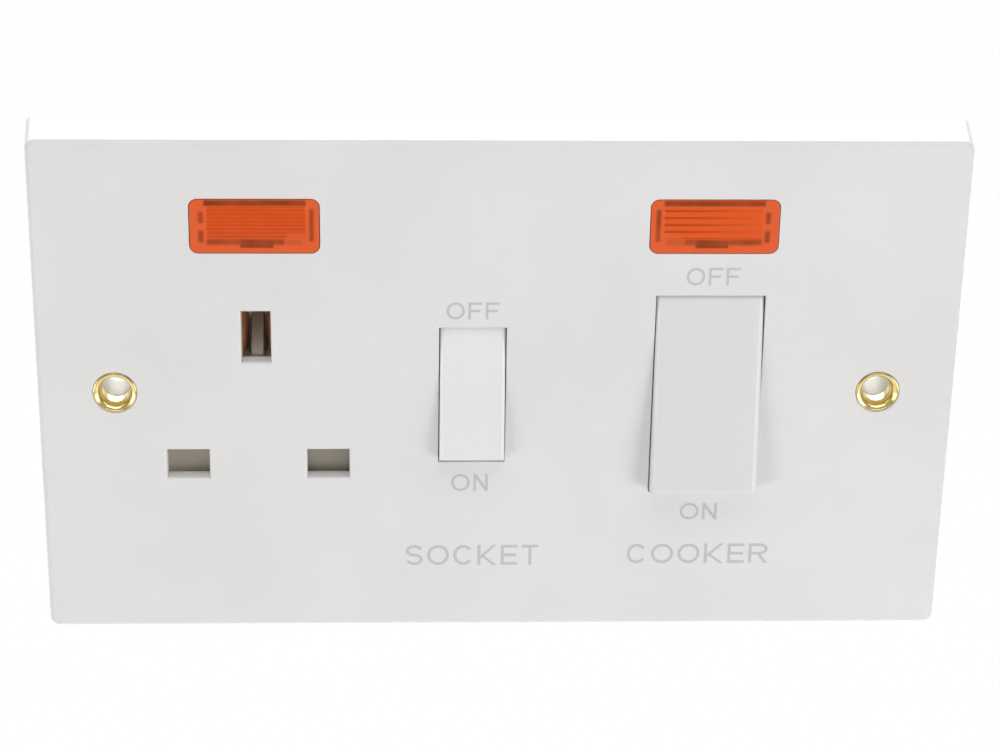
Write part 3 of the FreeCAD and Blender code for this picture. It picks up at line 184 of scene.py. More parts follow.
# small helpers for materials
def srgb(r, g, b):
    # a screen colour of 0 to 255 as the linear colour that a shader takes
    c = np.array([r, g, b]) / 255
    c = np.where(c <= 0.04045, c / 12.92, ((c + 0.055) / 1.055) ** 2.4)
    return (*c.tolist(), 1.0)


class Wire:
    # one shader socket; sums on it add Math nodes to its tree
    def __init__(self, tree, socket=None):
        self.tree = tree
        self.socket = socket

    def node(self, kind, settings=None, sockets=None, out=0):
        # a new node with its sockets wired or set; gives the wire from one of its outputs
        made = self.tree.nodes.new(kind)
        for key, value in (settings or {}).items():
            setattr(made, key, value)
        for key, value in (sockets or {}).items():
            if isinstance(value, Wire):
                self.tree.links.new(value.socket, made.inputs[key])
            else:
                made.inputs[key].default_value = value
        return Wire(self.tree, made.outputs[out])

    def math(self, operation, first, second=0.0):
        return self.node("ShaderNodeMath", {"operation": operation}, {0: first, 1: second})

    def __add__(self, other):
        return self.math("ADD", self, other)

    def __radd__(self, other):
        return self.math("ADD", other, self)

    def __sub__(self, other):
        return self.math("SUBTRACT", self, other)

    def __rsub__(self, other):
        return self.math("SUBTRACT", other, self)

    def __mul__(self, other):
        return self.math("MULTIPLY", self, other)

    def __rmul__(self, other):
        return self.math("MULTIPLY", other, self)

    def most(self, other):
        return self.math("MAXIMUM", self, other)

    def sine(self):
        return self.math("SINE", self)

    def ease(self, low, high):
        # 0 below low, 1 above high, an S curve between
        return self.node("ShaderNodeMapRange", {"interpolation_type": "SMOOTHSTEP"},
                         {"Value": self, "From Min": low, "From Max": high})

    def blend(self, colourA, colourB):
        # colourA where self is 0, colourB where it is 1
        return self.node("ShaderNodeMix", {"data_type": "RGBA"}, {0: self, 6: colourA, 7: colourB}, out=2)

    def noise(self, scale, detail=2.0, roughness=0.5):
        sockets = {"Vector": self, "Scale": scale, "Detail": detail, "Roughness": roughness}
        return self.node("ShaderNodeTexNoise", None, sockets, out="Fac")

    def parts(self):
        made = self.node("ShaderNodeSeparateXYZ", None, {"Vector": self})
        return [Wire(self.tree, s) for s in made.socket.node.outputs]


def newSurface(name, **fixed):
    # a Principled shader with its even values set on its sockets, and the Object coordinates to paint by
    material = bpy.data.materials.new(name)
    material.use_nodes = True
    shader = material.node_tree.nodes["Principled BSDF"]
    for key, value in fixed.items():
        shader.inputs[key.replace("_", " ")].default_value = value
    place = Wire(material.node_tree).node("ShaderNodeTexCoord", out="Object")
    return material, shader, place


def feed(shader, **wires):
    # the inputs that vary over the surface
    for key, wire in wires.items():
        wire.tree.links.new(wire.socket, shader.inputs[key.replace("_", " ")])


def bumped(height, strength, depth, softness=0.0):
    # a bump from a height, over edges that are rounded by softness
    sockets = {"Strength": strength, "Distance": depth, "Height": height}
    if softness:
        sockets["Normal"] = height.node("ShaderNodeBevel", {"samples": 6}, {"Radius": softness})
    return height.node("ShaderNodeBump", None, sockets)


# moulded plastics
plateLook = {"light": srgb(234, 233, 232), "dark": srgb(230, 229, 228), "rough": 0.3, "edge": 0.3 * mm}
socketRockerLook = {"light": srgb(240, 240, 239), "dark": srgb(237, 237, 236),
                    "rough": 0.22, "edge": 0.3 * mm}
cookerRockerLook = {"light": srgb(229, 228, 228), "dark": srgb(227, 226, 226),
                    "rough": 0.28, "edge": 0.3 * mm}
rearLook = {"light": srgb(243, 242, 237), "dark": srgb(238, 236, 230), "rough": 0.45, "edge": 0.2 * mm}
# the shutter's white plastic is darkened to grey-beige: painted shade for the depth of the slots
shutterShadeLook = {"light": srgb(194, 186, 171), "dark": srgb(182, 174, 159), "rough": 0.4, "edge": 0.2 * mm}
nylonLook = {"light": srgb(224, 219, 200), "dark": srgb(210, 203, 182), "rough": 0.4, "edge": 0.1 * mm}
mouldSkin = {"clouds": 45.0, "grain": 2600.0, "flow": 160.0, "bump": 0.06, "depth": 0.02 * mm}


def mouldedPlastic(name, look):
    # slow clouds of tone, a faint skin of fine grain and softened edges
    skin = mouldSkin
    material, shader, place = newSurface(name, IOR=1.5)
    clouds = place.noise(skin["clouds"], 3.0).ease(0.3, 0.7)
    grain = place.noise(skin["grain"])
    flow = place.noise(skin["flow"])
    feed(shader, Base_Color=clouds.blend(look["light"], look["dark"]),
         Roughness=look["rough"] + 0.06 * (flow - 0.5) + 0.05 * grain,
         Normal=bumped(grain + 0.6 * flow, skin["bump"], skin["depth"], look["edge"]))
    return material


paint(mouldedPlastic("plateWhite", plateLook), "front_plate")
paint(mouldedPlastic("socketRockerWhite", socketRockerLook), "socket_rocker")
paint(mouldedPlastic("cookerRockerWhite", cookerRockerLook), "cooker_rocker")
paint(mouldedPlastic("rearWhite", rearLook), "rear_base")
# the shutter in its painted shade
paint(mouldedPlastic("shutterPaintedShade", shutterShadeLook), "shutter")
paint(mouldedPlastic("plungerNylon", nylonLook), "socket_plunger", "live_plunger", "neutral_plunger")
print("plastics painted")


# metals
brassLook = {"bright": srgb(240, 206, 122), "dull": srgb(198, 158, 78), "rough": 0.2}
stripLook = {"bright": srgb(226, 186, 108), "dull": srgb(160, 118, 62), "rough": 0.32}
leafLook = {"bright": srgb(206, 148, 108), "dull": srgb(172, 120, 86), "rough": 0.5, "metal": 0.25}
silverLook = {"bright": srgb(236, 234, 228), "dull": srgb(196, 192, 184), "rough": 0.28}
zincLook = {"bright": srgb(214, 213, 208), "dull": srgb(166, 164, 158), "rough": 0.3}
springLook = {"bright": srgb(186, 186, 188), "dull": srgb(122, 122, 126), "rough": 0.28}
drawnSkin = {"film": 420.0, "lines": 900.0, "bump": 0.12, "depth": 0.01 * mm, "edge": 0.08 * mm}


def drawnMetal(name, look, stretch, dullness=0.5):
    # metal with a patchy film, and fine draw lines stretched along one axis
    skin = drawnSkin
    material, shader, place = newSurface(name, Metallic=look.get("metal", 1.0))
    film = place.noise(skin["film"], 4.0, 0.6).ease(0.35, 0.8)
    drawn = place.node("ShaderNodeMapping", None, {"Vector": place, "Scale": stretch})
    lines = drawn.noise(skin["lines"], 3.0)
    feed(shader, Base_Color=(film * dullness).blend(look["bright"], look["dull"]),
         Roughness=look["rough"] + 0.16 * film + 0.1 * (lines - 0.5),
         Normal=bumped(lines, skin["bump"], skin["depth"], skin["edge"]))
    return material


stripBrass = drawnMetal("stripBrass", stripLook, (0.15, 1.0, 1.0))
leafBrass = drawnMetal("leafBrass", leafLook, (1.0, 0.15, 1.0), 0.7)
terminalBrass = drawnMetal("terminalBrass", brassLook, (1.0, 1.0, 0.12), 0.6)
tipSilver = drawnMetal("tipSilver", silverLook, (1.0, 0.3, 1.0))
screwZinc = drawnMetal("screwZinc", zincLook, (1.0, 0.3, 1.0))
springSteel = drawnMetal("springSteel", springLook, (1.0, 1.0, 0.4))
poles = ("socket", "live", "neutral")
cores = ("live", "neutral", "earth")
paint(stripBrass, "earth_strap", "live_busbar", "neutral_busbar", "live_load_bar", "neutral_load_bar",
      *[pole + "_blade" for pole in poles])
paint(leafBrass, *[core + "_contact" for core in cores])
paint(terminalBrass, *["%s_%s_terminal" % (core, way) for core in cores for way in ("in", "out")])
paint(tipSilver, *[pole + tip for tip in ("_fixed_tip", "_blade_tip") for pole in poles])
print("metals painted")


# amber lenses: bright frame, painted shade over the gaps of the hollow behind, ribbed field in the middle
# a box is left, right, low and high in mm from the lens's middle; each shaded gap adds its soft border and
# its depth, the strength of its painted shade
lensLook = {
    # dark is the colour of the painted shade in the gaps of the hollow behind
    "frame": srgb(232, 101, 56), "line": srgb(176, 62, 24), "dark": srgb(136, 62, 33),
    "fieldBox": (-7.3, 7.8, -2.0, 3.3), "fieldSoft": 0.12,
    "plainBox": (5.0, 8.4, -3.4, -1.2), "plainSoft": 0.5, "plainShare": 0.7,
    "shadeGaps": [((-7.7, 7.9, 3.4, 4.3), 0.22, 1.0), ((-7.4, 4.6, -3.1, -2.1), 0.3, 0.8),
             ((4.0, 7.4, -3.1, -2.1), 0.4, 0.3), ((-2.2, 2.9, -3.6, -2.2), 0.16, 1.0),
             ((-8.6, -7.8, 0.5, 2.4), 0.3, 0.85), ((-8.6, -7.8, -2.7, -0.7), 0.3, 0.9),
             ((8.4, 9.1, -2.5, 2.9), 0.3, 0.85)],
}
socketLens = {"field": srgb(221, 87, 38), "flip": 1, "pitch": 0.62, "thin": 0.45, "strength": 0.32,
              "fade": (-30.0, -20.0)}
cookerLens = {"field": srgb(231, 94, 43), "flip": -1, "pitch": 1.16, "thin": 0.7, "strength": 0.8,
              "fade": (-11.0, 8.0)}


def insideBox(u, v, box, soft):
    # 1 inside the box and 0 outside, over a soft border
    left, right, low, high = box
    across = u.ease(left - soft, left + soft) * (1.0 - u.ease(right - soft, right + soft))
    return across * v.ease(low - soft, low + soft) * (1.0 - v.ease(high - soft, high + soft))


def amberLens(name, node, shape):
    # u and v are mm from the lens's middle, u turned over for the second lens
    # lines = S curve of sin(2 pi v / pitch), stronger towards the end of the fade
    look = lensLook
    low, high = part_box(node)
    material, shader, place = newSurface(name, IOR=1.49, Specular_IOR_Level=0.25)
    middle = (low + high) / 2
    local = place.node("ShaderNodeMapping", None, {"Vector": place, "Location": -middle}).parts()
    u = local[0] * (shape["flip"] / mm)
    v = local[2] * (1 / mm)
    cloudy = place.noise(300.0, 3.0)
    shadeGaps = [depth * insideBox(u, v, box, soft) for box, soft, depth in look["shadeGaps"]]
    hollowShade = shadeGaps[0]
    for shadeGap in shadeGaps[1:]:
        hollowShade = hollowShade.most(shadeGap)
    field = insideBox(u, v, look["fieldBox"], look["fieldSoft"])
    plain = look["plainShare"] * insideBox(u, v, look["plainBox"], look["plainSoft"])
    wave = (v * (2 * math.pi / shape["pitch"])).sine()
    lines = wave.ease(shape["thin"] - 0.6, shape["thin"] + 0.3) * u.ease(*shape["fade"]) * field
    body = field.blend(look["frame"], shape["field"])
    body = (lines * (shape["strength"] * (0.6 + 0.8 * cloudy))).blend(body, look["line"])
    body = plain.blend(body, look["frame"])
    # painted shade of the hollow behind the lens, strongest in its gaps, blended over the body colour
    feed(shader, Base_Color=(hollowShade * (0.5 + 0.75 * cloudy)).blend(body, look["dark"]),
         Roughness=0.16 + 0.08 * cloudy,
         Normal=bumped(0.2 * cloudy - lines, 0.12, 0.05 * mm, 0.3 * mm))
    paint(material, node)


amberLens("socketAmber", "socket_lens", socketLens)
amberLens("cookerAmber", "cooker_lens", cookerLens)


# neon lamps and resistors behind the lenses
glassLook = {"clear": srgb(236, 238, 236), "dim": srgb(214, 220, 216)}
resistorLook = {"light": srgb(206, 182, 140), "dark": srgb(178, 150, 108)}


def lampGlass(look):
    # clear glass with a faint uneven tint
    material, shader, place = newSurface("lampGlass", Transmission_Weight=0.85, IOR=1.5)
    feed(shader, Base_Color=place.noise(500.0).blend(look["clear"], look["dim"]),
         Roughness=0.04 + 0.06 * place.noise(900.0))
    return material


def resistorCoat(look):
    # tan lacquer with a mottled gloss
    material, shader, place = newSurface("resistorCoat", Coat_Weight=0.4)
    feed(shader, Base_Color=place.noise(700.0, 3.0).blend(look["light"], look["dark"]),
         Roughness=0.35 + 0.2 * place.noise(1500.0))
    return material


paint(lampGlass(glassLook), "socket_neon_lamp", "cooker_neon_lamp")
paint(resistorCoat(resistorLook), "socket_neon_resistor", "cooker_neon_resistor")
print("lenses and lamps painted")


# fixing eyelets: a trumpet mouth, a short smooth tube, an end rolled over behind; sizes in mm
eyeletShape = {"bore": 2.3, "wall": 0.35, "rim": 3.4, "cone": 1.6, "lip": 0.3, "nose": 0.1,
               "roll": 3.2, "turn": 0.4, "fillet": 0.2, "around": 96}
# line is the colour of the painted shade ring at the throat
eyeletLook = {"bright": srgb(253, 236, 174), "dull": srgb(236, 210, 138), "line": srgb(128, 108, 50),
              "rough": 0.13}


def eyeletProfile(shape, mouth, end):
    # radius against depth: out along the bell of the mouth, over the round lip, back along the outside,
    # round the rolled end and into the tube again; the round stretches are sines and cosines
    bore, wall, rim, cone = shape["bore"], shape["wall"], shape["rim"], shape["cone"]
    half, nose, bulge, fillet = shape["lip"] / 2, shape["nose"], shape["turn"] / 2, shape["fillet"]
    front, seat = mouth + nose, end - shape["turn"]
    t = np.linspace(0, 1, 13)
    whole, quarter = math.pi * t, 0.5 * math.pi * t
    widen = rim - 2 * half - bore
    curves = {
        "bell": (bore + widen * (1 - np.cos(quarter)), front + cone * (1 - np.sin(quarter))),
        "lip": (rim - half - half * np.cos(whole), front - nose * np.sin(whole)),
        "flare": (bore + wall + (rim - bore - wall) * (1 - t) ** 2, front + cone * t),
        "roll": (shape["roll"] - bulge + bulge * np.sin(whole), seat + bulge - bulge * np.cos(whole)),
        "tail": (bore + fillet - fillet * np.sin(quarter), end - fillet + fillet * np.cos(quarter)),
    }
    bell, lip, flare, roll, tail = (np.stack(curve, -1) for curve in curves.values())
    return np.concatenate([bell, lip[1:], flare[1:], [(bore + wall, seat)], roll, tail]) * mm


def eyeletBrass(look, throat):
    # bright brass, with a painted shade line where the mouth meets the tube
    material, shader, place = newSurface("eyeletBrass", Metallic=1.0)
    film = place.noise(500.0, 4.0, 0.6).ease(0.35, 0.8)
    depth = place.parts()[1] * (1 / mm) - throat
    # painted shade: a narrow ring of depth just behind the throat
    line = depth.ease(-0.22, -0.1) * (1.0 - depth.ease(0.05, 0.2))
    feed(shader, Base_Color=(0.8 * line).blend(film.blend(look["bright"], look["dull"]), look["line"]),
         Roughness=look["rough"] + 0.1 * film + 0.2 * line,
         Normal=bumped(film, 0.05, 0.01 * mm))
    return material


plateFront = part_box("front_plate")[0].y / mm
eyeletBoxes = islandBoxes("fixing_eyelets")
mouth, end = (corner[1] / mm for corner in eyeletBoxes[0])
points, faces = turned(eyeletProfile(eyeletShape, mouth, end), eyeletShape["around"], closed=True)
places = [((lo[0] + hi[0]) / 2, 0.0, (lo[2] + hi[2]) / 2) for lo, hi in eyeletBoxes]
fixingEyelets = newPiece("fixingEyelets", *repeated(points, faces, places))
dress(fixingEyelets, eyeletBrass(eyeletLook, plateFront + eyeletShape["cone"]), "housing", "eyelet_brass",
      "fixing_eyelets")
print("eyelets turned:", len(places))


# screws, in mm: a clamp screw with a straight slot, a tapping screw with a cross
clampScrew = {"shank": 2.0, "head": 2.6, "headHigh": 2.0, "dome": 0.25, "slotWide": 0.8, "slotDeep": 1.0,
              "pitch": 0.7, "thread": 0.3}
tapScrew = {"shank": 1.4, "head": 2.7, "headHigh": 1.8, "dome": 0.9, "crossWide": 0.75, "crossLong": 3.2,
            "crossDeep": 1.1, "pitch": 1.0, "thread": 0.3}
screwFit = {"side": 0.02, "top": 0.01, "sunk": 0.3, "headAround": 48, "shankAround": 32, "perTurn": 10,
            "runOut": 0.6, "cutReach": 5.0, "cutAbove": 1.0}


def threadedShank(shape, low, high):
    # radius falls by a triangle wave of height and angle, so that the crest winds round as a helix
    pitch, around = shape["pitch"], screwFit["shankAround"]
    rows = max(4, int((high - low) / pitch * screwFit["perTurn"]))
    t = np.linspace(low, high, rows)[:, None]
    a = np.linspace(0, 2 * np.pi, around, endpoint=False)[None]
    wave = np.abs(((t / pitch - a / (2 * np.pi)) % 1.0) * 2 - 1)
    fade = np.clip(np.minimum(t - low, high - t) / (screwFit["runOut"] * pitch), 0, 1)
    r = shape["shank"] - shape["thread"] * (1 - wave * fade)
    points = np.stack([r * np.cos(a), np.broadcast_to(t, r.shape), r * np.sin(a)], -1)
    return points.reshape(-1, 3), tubeFaces(rows, around)


def boxShell(low, high):
    # the eight corners and six sides of a block
    xs, ys, zs = zip(low, high)
    spots = np.array([[x, y, z] for x in xs for y in ys for z in zs])
    return spots, [[0, 1, 3, 2], [4, 6, 7, 5], [0, 4, 5, 1], [2, 3, 7, 6], [0, 2, 6, 4], [1, 5, 7, 3]]


def headProfile(radius, high, dome, bevel=0.1, core=0.2, tip=1e-3):
    # flat seat, upright side, a domed top: radius against depth
    a = np.linspace(0, 0.5 * math.pi, 7)
    top = np.stack([radius * np.cos(a) + tip, high - dome + dome * np.sin(a)], -1)
    return np.concatenate([[(core, 0.0), (radius - bevel, 0.0), (radius, bevel)], top])


def slotCut(shape):
    # one groove right across the head
    half, reach = shape["slotWide"] / 2, screwFit["cutReach"]
    floor, top = shape["headHigh"] - shape["slotDeep"], shape["headHigh"] + screwFit["cutAbove"]
    return [((-reach, floor, -half), (reach, top, half))]


def crossCut(shape):
    # two short grooves across each other
    half, reach = shape["crossWide"] / 2, shape["crossLong"] / 2
    floor, top = shape["headHigh"] - shape["crossDeep"], shape["headHigh"] + screwFit["cutAbove"]
    return [((-reach, floor, -half), (reach, top, half)), ((-half, floor, -reach), (half, top, reach))]


def screwSet(name, node, shape, cuts):
    # one head and shank per solid of the node, each set down at its own box; the cuts open the drive
    heads, feet = [], []
    for lo, hi in islandBoxes(node):
        x, z = (lo[0] + hi[0]) / 2 / mm, (lo[2] + hi[2]) / 2 / mm
        heads.append((x, hi[1] / mm - shape["headHigh"], z))
        feet.append((x, lo[1] / mm, z))
    radius, high = shape["head"] - screwFit["side"], shape["headHigh"] - screwFit["top"]
    points, faces = turned(headProfile(radius, high, shape["dome"]), screwFit["headAround"])
    piece = newPiece(name, *scaled(repeated(points, faces, heads)), smooth=False)
    points, faces = joinMeshes([boxShell(*cut) for cut in cuts])
    cutter = newPiece(name + "Cutter", *scaled(repeated(points, faces, heads)), smooth=False)
    cutAway(piece, cutter)
    low, seat = feet[0][1], heads[0][1]
    points, faces = threadedShank(shape, low, seat + screwFit["sunk"])
    offsets = [(x, foot - low, z) for x, foot, z in feet]
    shank = newPiece(name + "Shanks", *scaled(repeated(points, faces, offsets)))
    bm = bmesh.new()
    bm.from_mesh(piece.data)
    bm.from_mesh(shank.data)
    bm.to_mesh(piece.data)
    bm.free()
    bpy.data.objects.remove(shank)
    return piece


terminalScrews = screwSet("terminalScrews", "terminal_screws", clampScrew, slotCut(clampScrew))
earthScrews = screwSet("earthScrews", "earth_screws", clampScrew, slotCut(clampScrew))
assemblyScrews = screwSet("assemblyScrews", "assembly_screws", tapScrew, crossCut(tapScrew))
dress(terminalScrews, screwZinc, "housing", "plated_screws", "terminal_screws")
dress(earthScrews, screwZinc, "housing", "plated_screws", "earth_screws")
dress(assemblyScrews, screwZinc, "housing", "plated_screws", "assembly_screws")
print("screws cut")


# springs
plungerCoil = {"wire": 0.3 * mm, "turns": 5}
shutterCoil = {"wire": 0.4 * mm, "turns": 8}
coilFit = {"perTurn": 28, "around": 12, "flatTurns": 0.8, "leastClimb": 0.12}


def spanAlong(node, axis):
    # where a node starts along an axis, its length there, its radius across and the axes to turn by
    axis = np.asarray(axis, float) / np.linalg.norm(axis)
    side = np.array([1.0, 0.0, 0.0])
    axes = np.stack([side, np.cross(axis, side), axis])
    local = spotsOf(node) @ axes.T
    low, high = local.min(0), local.max(0)
    start = np.array([(low[0] + high[0]) / 2, (low[1] + high[1]) / 2, low[2]]) @ axes
    return start, high[2] - low[2], (high[0] - low[0]) / 2, axes


def coilSpring(name, node, axis, coil):
    # round wire on a helix whose climb slows to little at both ends, where the last turns lie flat
    start, length, outer, axes = spanAlong(node, axis)
    half, turns = coil["wire"] / 2, coil["turns"]
    s = np.linspace(0, 1, turns * coilFit["perTurn"] + 1)
    slope = np.clip(np.minimum(s, 1 - s) * turns / coilFit["flatTurns"], coilFit["leastClimb"], 1.0)
    climb = np.cumsum(slope)
    climb = (climb - climb[0]) / (climb[-1] - climb[0])
    a = 2 * np.pi * turns * s
    b = np.linspace(0, 2 * np.pi, coilFit["around"], endpoint=False)
    reach = outer - half + half * np.cos(b)[None]
    rise = half + (length - 2 * half) * climb[:, None] + half * np.sin(b)[None]
    local = np.stack([reach * np.cos(a)[:, None], reach * np.sin(a)[:, None], rise], -1)
    points = local.reshape(-1, 3) @ axes + start
    return newPiece(name, points, tubeFaces(len(s), len(b))), start, length


shutterTravel = joints["shutter_slide"]["range_m"][1]
spring, seat, length = coilSpring("shutterSpring", "shutter_spring", (0, 0, 1), shutterCoil)
dress(spring, springSteel, "housing", "spring_steel", "shutter_spring")
1 - shutterTravel / length
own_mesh(spring)
for pole, carrier in (("socket", "socket_rocker"), ("live", "cooker_rocker"), ("neutral", "cooker_rocker")):
    joint = joints[pole + "_plunger_travel"]
    along = [-k for k in joint["axis"]]
    spring, seat, length = coilSpring(pole + "PlungerSpring", pole + "_plunger_spring", along, plungerCoil)
    dress(spring, springSteel, carrier, "spring_steel", pole + "_plunger_spring")
    1 - joint["range_m"][1] / length
    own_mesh(spring)
print("springs wound")


# printed words, in thin grey ink on the plate: places in mm, stroke and letter widths as shares of the height
inkLook = {"light": srgb(206, 205, 206), "dark": srgb(198, 197, 198), "thick": 0.02, "stroke": 0.136}
letterWide = {"O": 0.98, "F": 0.74, "N": 0.75, "S": 0.75, "C": 0.88, "K": 0.85, "E": 0.74, "T": 0.74,
              "R": 0.84}
letterGap = 0.19
words = [
    {"text": "OFF", "left": -8.3, "right": 0.0, "low": 12.7, "high": 15.6},
    {"text": "ON", "left": -7.3, "right": -1.4, "low": -17.6, "high": -14.5},
    {"text": "SOCKET", "left": -14.5, "right": 7.0, "low": -31.2, "high": -27.5},
    {"text": "OFF", "left": 29.0, "right": 37.4, "low": 18.5, "high": 21.5},
    {"text": "ON", "left": 29.7, "right": 35.7, "low": -22.9, "high": -19.9},
    {"text": "COOKER", "left": 21.4, "right": 44.4, "low": -31.0, "high": -27.4},
]


def letterSpans(word):
    # left and right of each letter: widths and gaps in proportion, drawn out to the word's own length
    wide = [letterWide[letter] for letter in word["text"]]
    starts = np.cumsum([0.0, *[w + letterGap for w in wide[:-1]]])
    scale = (word["right"] - word["left"]) / (starts[-1] + wide[-1])
    return [(word["left"] + scale * a, word["left"] + scale * (a + w)) for a, w in zip(starts, wide)]


def arcRibbon(middle, reach, s, first, last):
    # part of an elliptic ring of even stroke: rails at reach and reach - s, between two angles in degrees
    a = np.radians(np.linspace(first, last, 33))
    spin = np.stack([np.cos(a), np.sin(a)], -1)
    middle, reach = np.asarray(middle), np.asarray(reach)
    return middle + spin * reach, middle + spin * (reach - s)


def bar(x0, x1, z0, z1):
    # a level or upright stroke, as its low and its high rail
    return np.array([(x0, z0), (x1, z0)], float), np.array([(x0, z1), (x1, z1)], float)


def slant(lowX, lowZ, highX, highZ, wide):
    # a leaning stroke with level ends, wide measured along x
    left = np.array([(lowX, lowZ), (highX, highZ)], float)
    return left, left + np.array([wide, 0.0])


def letterRibbons(letter, w, h, s):
    # the strokes of one capital in a box of w by h
    half = np.array([w / 2, h / 2])
    stem, lean = bar(0, s, 0, h), 1.25 * s
    if letter == "O":
        return [arcRibbon(half, half, s, 0, 360)]
    if letter == "C":
        return [arcRibbon(half, half, s, 38, 322)]
    if letter == "S":
        bowl = np.array([w / 2, (h + s) / 4])
        return [arcRibbon((w / 2, h - bowl[1]), bowl, s, 18, 270), arcRibbon(bowl, bowl, s, 90, -162)]
    if letter == "T":
        return [bar(0, w, h - s, h), bar((w - s) / 2, (w + s) / 2, 0, h - s)]
    if letter == "N":
        drop = 0.9 * s * math.hypot(1, h / (w - 2 * s))
        cross = np.array([(s, h), (w - s, drop)]), np.array([(s, h - drop), (w - s, 0)])
        return [stem, bar(w - s, w, 0, h), cross]
    if letter == "K":
        # the arm's lower edge starts at foot on the stem; the leg ends on that edge
        foot, fork = 0.3 * h, s + 0.1 * w
        climb = (h - foot) / (w - s)
        legX, legZ = fork - (w - lean), foot + climb * (fork - s)
        along = h / (legZ - climb * legX)
        arm = np.array([(s, h - climb * (w - lean - s)), (w - lean, h)]), np.array([(s, foot), (w, h)])
        leg = np.array([(w - lean, 0), (fork, legZ)]), np.array([(w, 0), (w + along * legX, along * legZ)])
        return [stem, arm, leg]
    if letter == "R":
        waist, turn = 0.43 * h, 0.56 * w
        bowl = np.array([w - turn, (h - waist) / 2])
        return [stem, bar(s, turn, h - s, h), bar(s, turn, waist, waist + s),
                arcRibbon((turn, waist + bowl[1]), bowl, s, -90, 90),
                slant(w - lean, 0, 0.46 * w, waist, lean)]
    middle, top = 0.5 * (h - s), h - s
    arms = {"E": ((0, 1.0), (middle, 0.93), (top, 1.0)), "F": ((middle, 0.86), (top, 1.0))}
    return [stem, *[bar(s, w * reach, z, z + s) for z, reach in arms[letter]]]


def ribbonTube(rails, shift, face, thick):
    # the two rails on the face and in front of it, as a flat tube with closed ends
    one, two = (np.asarray(rail) + shift for rail in rails)
    ring = ((one, face), (one, face - thick), (two, face - thick), (two, face))
    rows = [np.stack([rail[:, 0], np.full(len(rail), y), rail[:, 1]], -1) for rail, y in ring]
    return np.stack(rows, 1).reshape(-1, 3), tubeFaces(len(one), len(ring))


def greyInk(look):
    # thin ink, a little mottled
    material, shader, place = newSurface("greyInk", IOR=1.45)
    mottled = place.noise(1800.0)
    feed(shader, Base_Color=mottled.blend(look["light"], look["dark"]), Roughness=0.38 + 0.1 * mottled)
    return material


ribbons = []
for word in words:
    tall = word["high"] - word["low"]
    for letter, (left, right) in zip(word["text"], letterSpans(word)):
        for rails in letterRibbons(letter, right - left, tall, inkLook["stroke"] * tall):
            ribbons.append(ribbonTube(rails, (left, word["low"]), plateFront, inkLook["thick"]))
printedWords = newPiece("printedWords", *scaled(joinMeshes(ribbons)), smooth=False)
dress(printedWords, greyInk(inkLook), "housing", "plate_white")
print("words printed:", len(words))


# studio, in metres: a pale sweep far below and behind, soft lamps, an even sky
studio = {"floorZ": -0.36, "half": 2.2, "wallY": 1.6, "curve": 0.5, "wallTop": 1.8,
          "shade": srgb(250, 250, 249), "rough": 0.8, "white": 0.985, "sky": 0.38}
cardLook = {"middle": (0.02, -0.55, -0.22), "half": (0.32, 0.16), "shade": (0.03, 0.03, 0.03, 1.0),
            "rough": 0.9}
lamps = [
    {"name": "topLamp", "place": (0.03, -0.34, 0.86), "size": (1.2, 0.5), "power": 3.5},
    {"name": "backLamp", "place": (0, 0.75, 0.5), "size": (1.1, 0.8), "power": 7.5},
    {"name": "leftLamp", "place": (-0.72, -0.6, -0.2), "size": (0.55, 0.55), "power": 3.1},
    {"name": "rightLamp", "place": (0.68, -0.64, -0.2), "size": (0.55, 0.55), "power": 4.0},
]


def paleSweep(look):
    # a floor that turns up into a wall over a quarter circle, drawn along X; to the camera, and in gloss
    # and glass, it is mostly plain white, with a share left for the shadow
    t = np.linspace(0, 0.5 * math.pi, 16)
    bendY = look["wallY"] - look["curve"] + look["curve"] * np.sin(t)
    bendZ = look["floorZ"] + look["curve"] * (1 - np.cos(t))
    y = [-look["half"], *bendY, look["wallY"]]
    z = [look["floorZ"], *bendZ, look["wallTop"]]
    points = [[(x, *spot) for spot in zip(y, z)] for x in (-look["half"], look["half"])]
    sweep = newPiece("paleSweep", points, gridFaces(2, len(y)))
    material, shader, place = newSurface("paleSweep", Base_Color=look["shade"], Roughness=look["rough"])
    tree = material.node_tree
    rays = place.node("ShaderNodeLightPath").socket.node.outputs
    seen = Wire(tree, rays["Is Camera Ray"])
    seen = seen.most(Wire(tree, rays["Is Glossy Ray"])).most(Wire(tree, rays["Is Transmission Ray"]))
    white = place.node("ShaderNodeEmission", None, {"Color": (1, 1, 1, 1), "Strength": 1.0})
    mixed = place.node("ShaderNodeMixShader", None,
                       {0: look["white"] * seen, 1: Wire(tree, shader.outputs[0]), 2: white})
    tree.links.new(mixed.socket, tree.nodes["Material Output"].inputs["Surface"])
    sweep.data.materials.append(material)


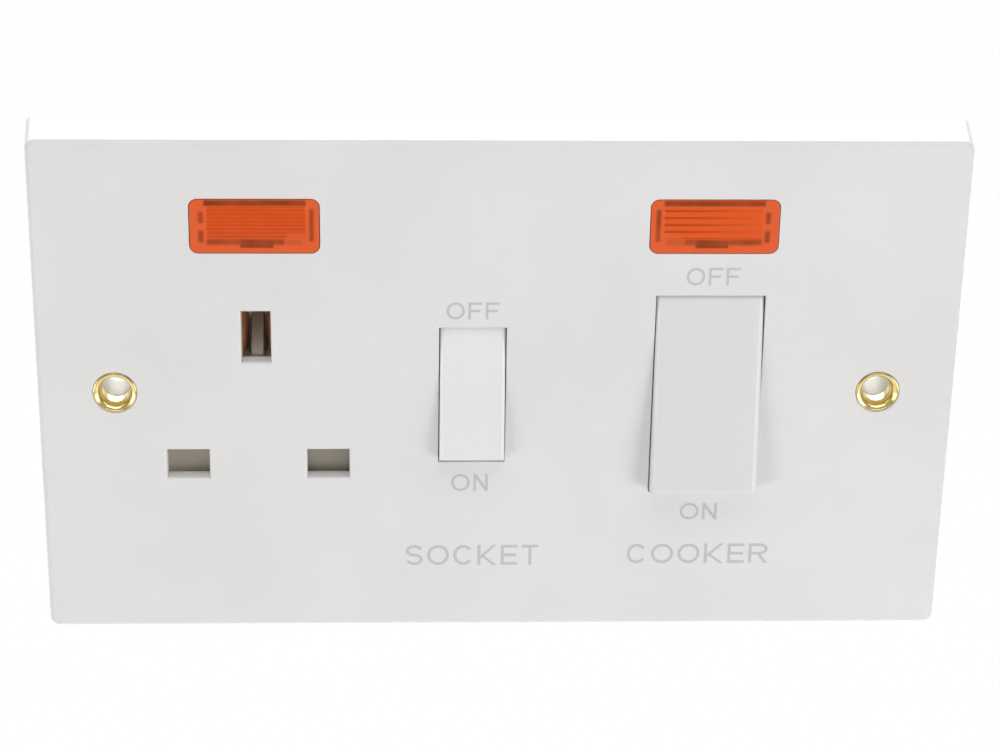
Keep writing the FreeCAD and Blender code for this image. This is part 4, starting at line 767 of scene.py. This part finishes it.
def softLamp(look):
    # a rectangular lamp at its place, turned to face the origin
    lamp = bpy.data.lights.new(look["name"], "AREA")
    lamp.shape = "RECTANGLE"
    lamp.size, lamp.size_y = look["size"]
    lamp.energy = look["power"]
    holder = bpy.data.objects.new(look["name"], lamp)
    place = Vector(look["place"])
    holder.matrix_world = Matrix.Translation(place) @ place.to_track_quat("Z", "Y").to_matrix().to_4x4()
    bpy.context.scene.collection.objects.link(holder)


def darkCard(look):
    # an upright card low before the object, the dark side of the room in its gloss
    (x, y, z), (w, h) = look["middle"], look["half"]
    points = [(x - w, y, z - h), (x + w, y, z - h), (x + w, y, z + h), (x - w, y, z + h)]
    card = newPiece("darkCard", points, [(0, 1, 2, 3)], smooth=False)
    material = newSurface("darkCard", Base_Color=look["shade"], Roughness=look["rough"])[0]
    card.data.materials.append(material)
    card.visible_camera = False


def evenSky(strength):
    # white light from all round
    world = bpy.data.worlds.new("studioWorld")
    bpy.context.scene.world = world
    world.use_nodes = True
    sky = world.node_tree.nodes["Background"]
    sky.inputs["Color"].default_value = (1, 1, 1, 1)
    sky.inputs["Strength"].default_value = strength


paleSweep(studio)
for lampLook in lamps:
    softLamp(lampLook)
darkCard(cardLook)
evenSky(studio["sky"])
print("studio lit")


# camera at the photo's angle: turn about Z, tilt about X, roll about the view; place in mm
camLook = {"focalPx": 2934.26, "imageWide": 1000, "sensor": 36, "nearest": 0.01,
           "turn": -0.046, "tilt": -0.449, "roll": -0.019, "place": (-18.923, -425.083, 203.752)}
spins = (("turn", "Z"), ("tilt", "X"), ("roll", "Y"))
turn, tilt, roll = (Matrix.Rotation(camLook[key], 3, axis) for key, axis in spins)
axes = turn @ tilt @ roll
right, ahead, up = (axes.col[k] for k in range(3))
cam = bpy.data.cameras.new("photoCamera")
cam.sensor_width = camLook["sensor"]
cam.lens = camLook["focalPx"] * camLook["sensor"] / camLook["imageWide"]
cam.clip_start = camLook["nearest"]
camera = bpy.data.objects.new("photoCamera", cam)
facing = Matrix((right, up, -ahead)).transposed().to_4x4()
camera.matrix_world = Matrix.Translation(Vector(camLook["place"]) * mm) @ facing
bpy.context.scene.collection.objects.link(camera)
bpy.context.scene.camera = camera
bpy.context.scene.view_settings.view_transform = "Standard"
print("camera set, lens %.1f mm" % cam.lens)

bpy.context.view_layer.update()
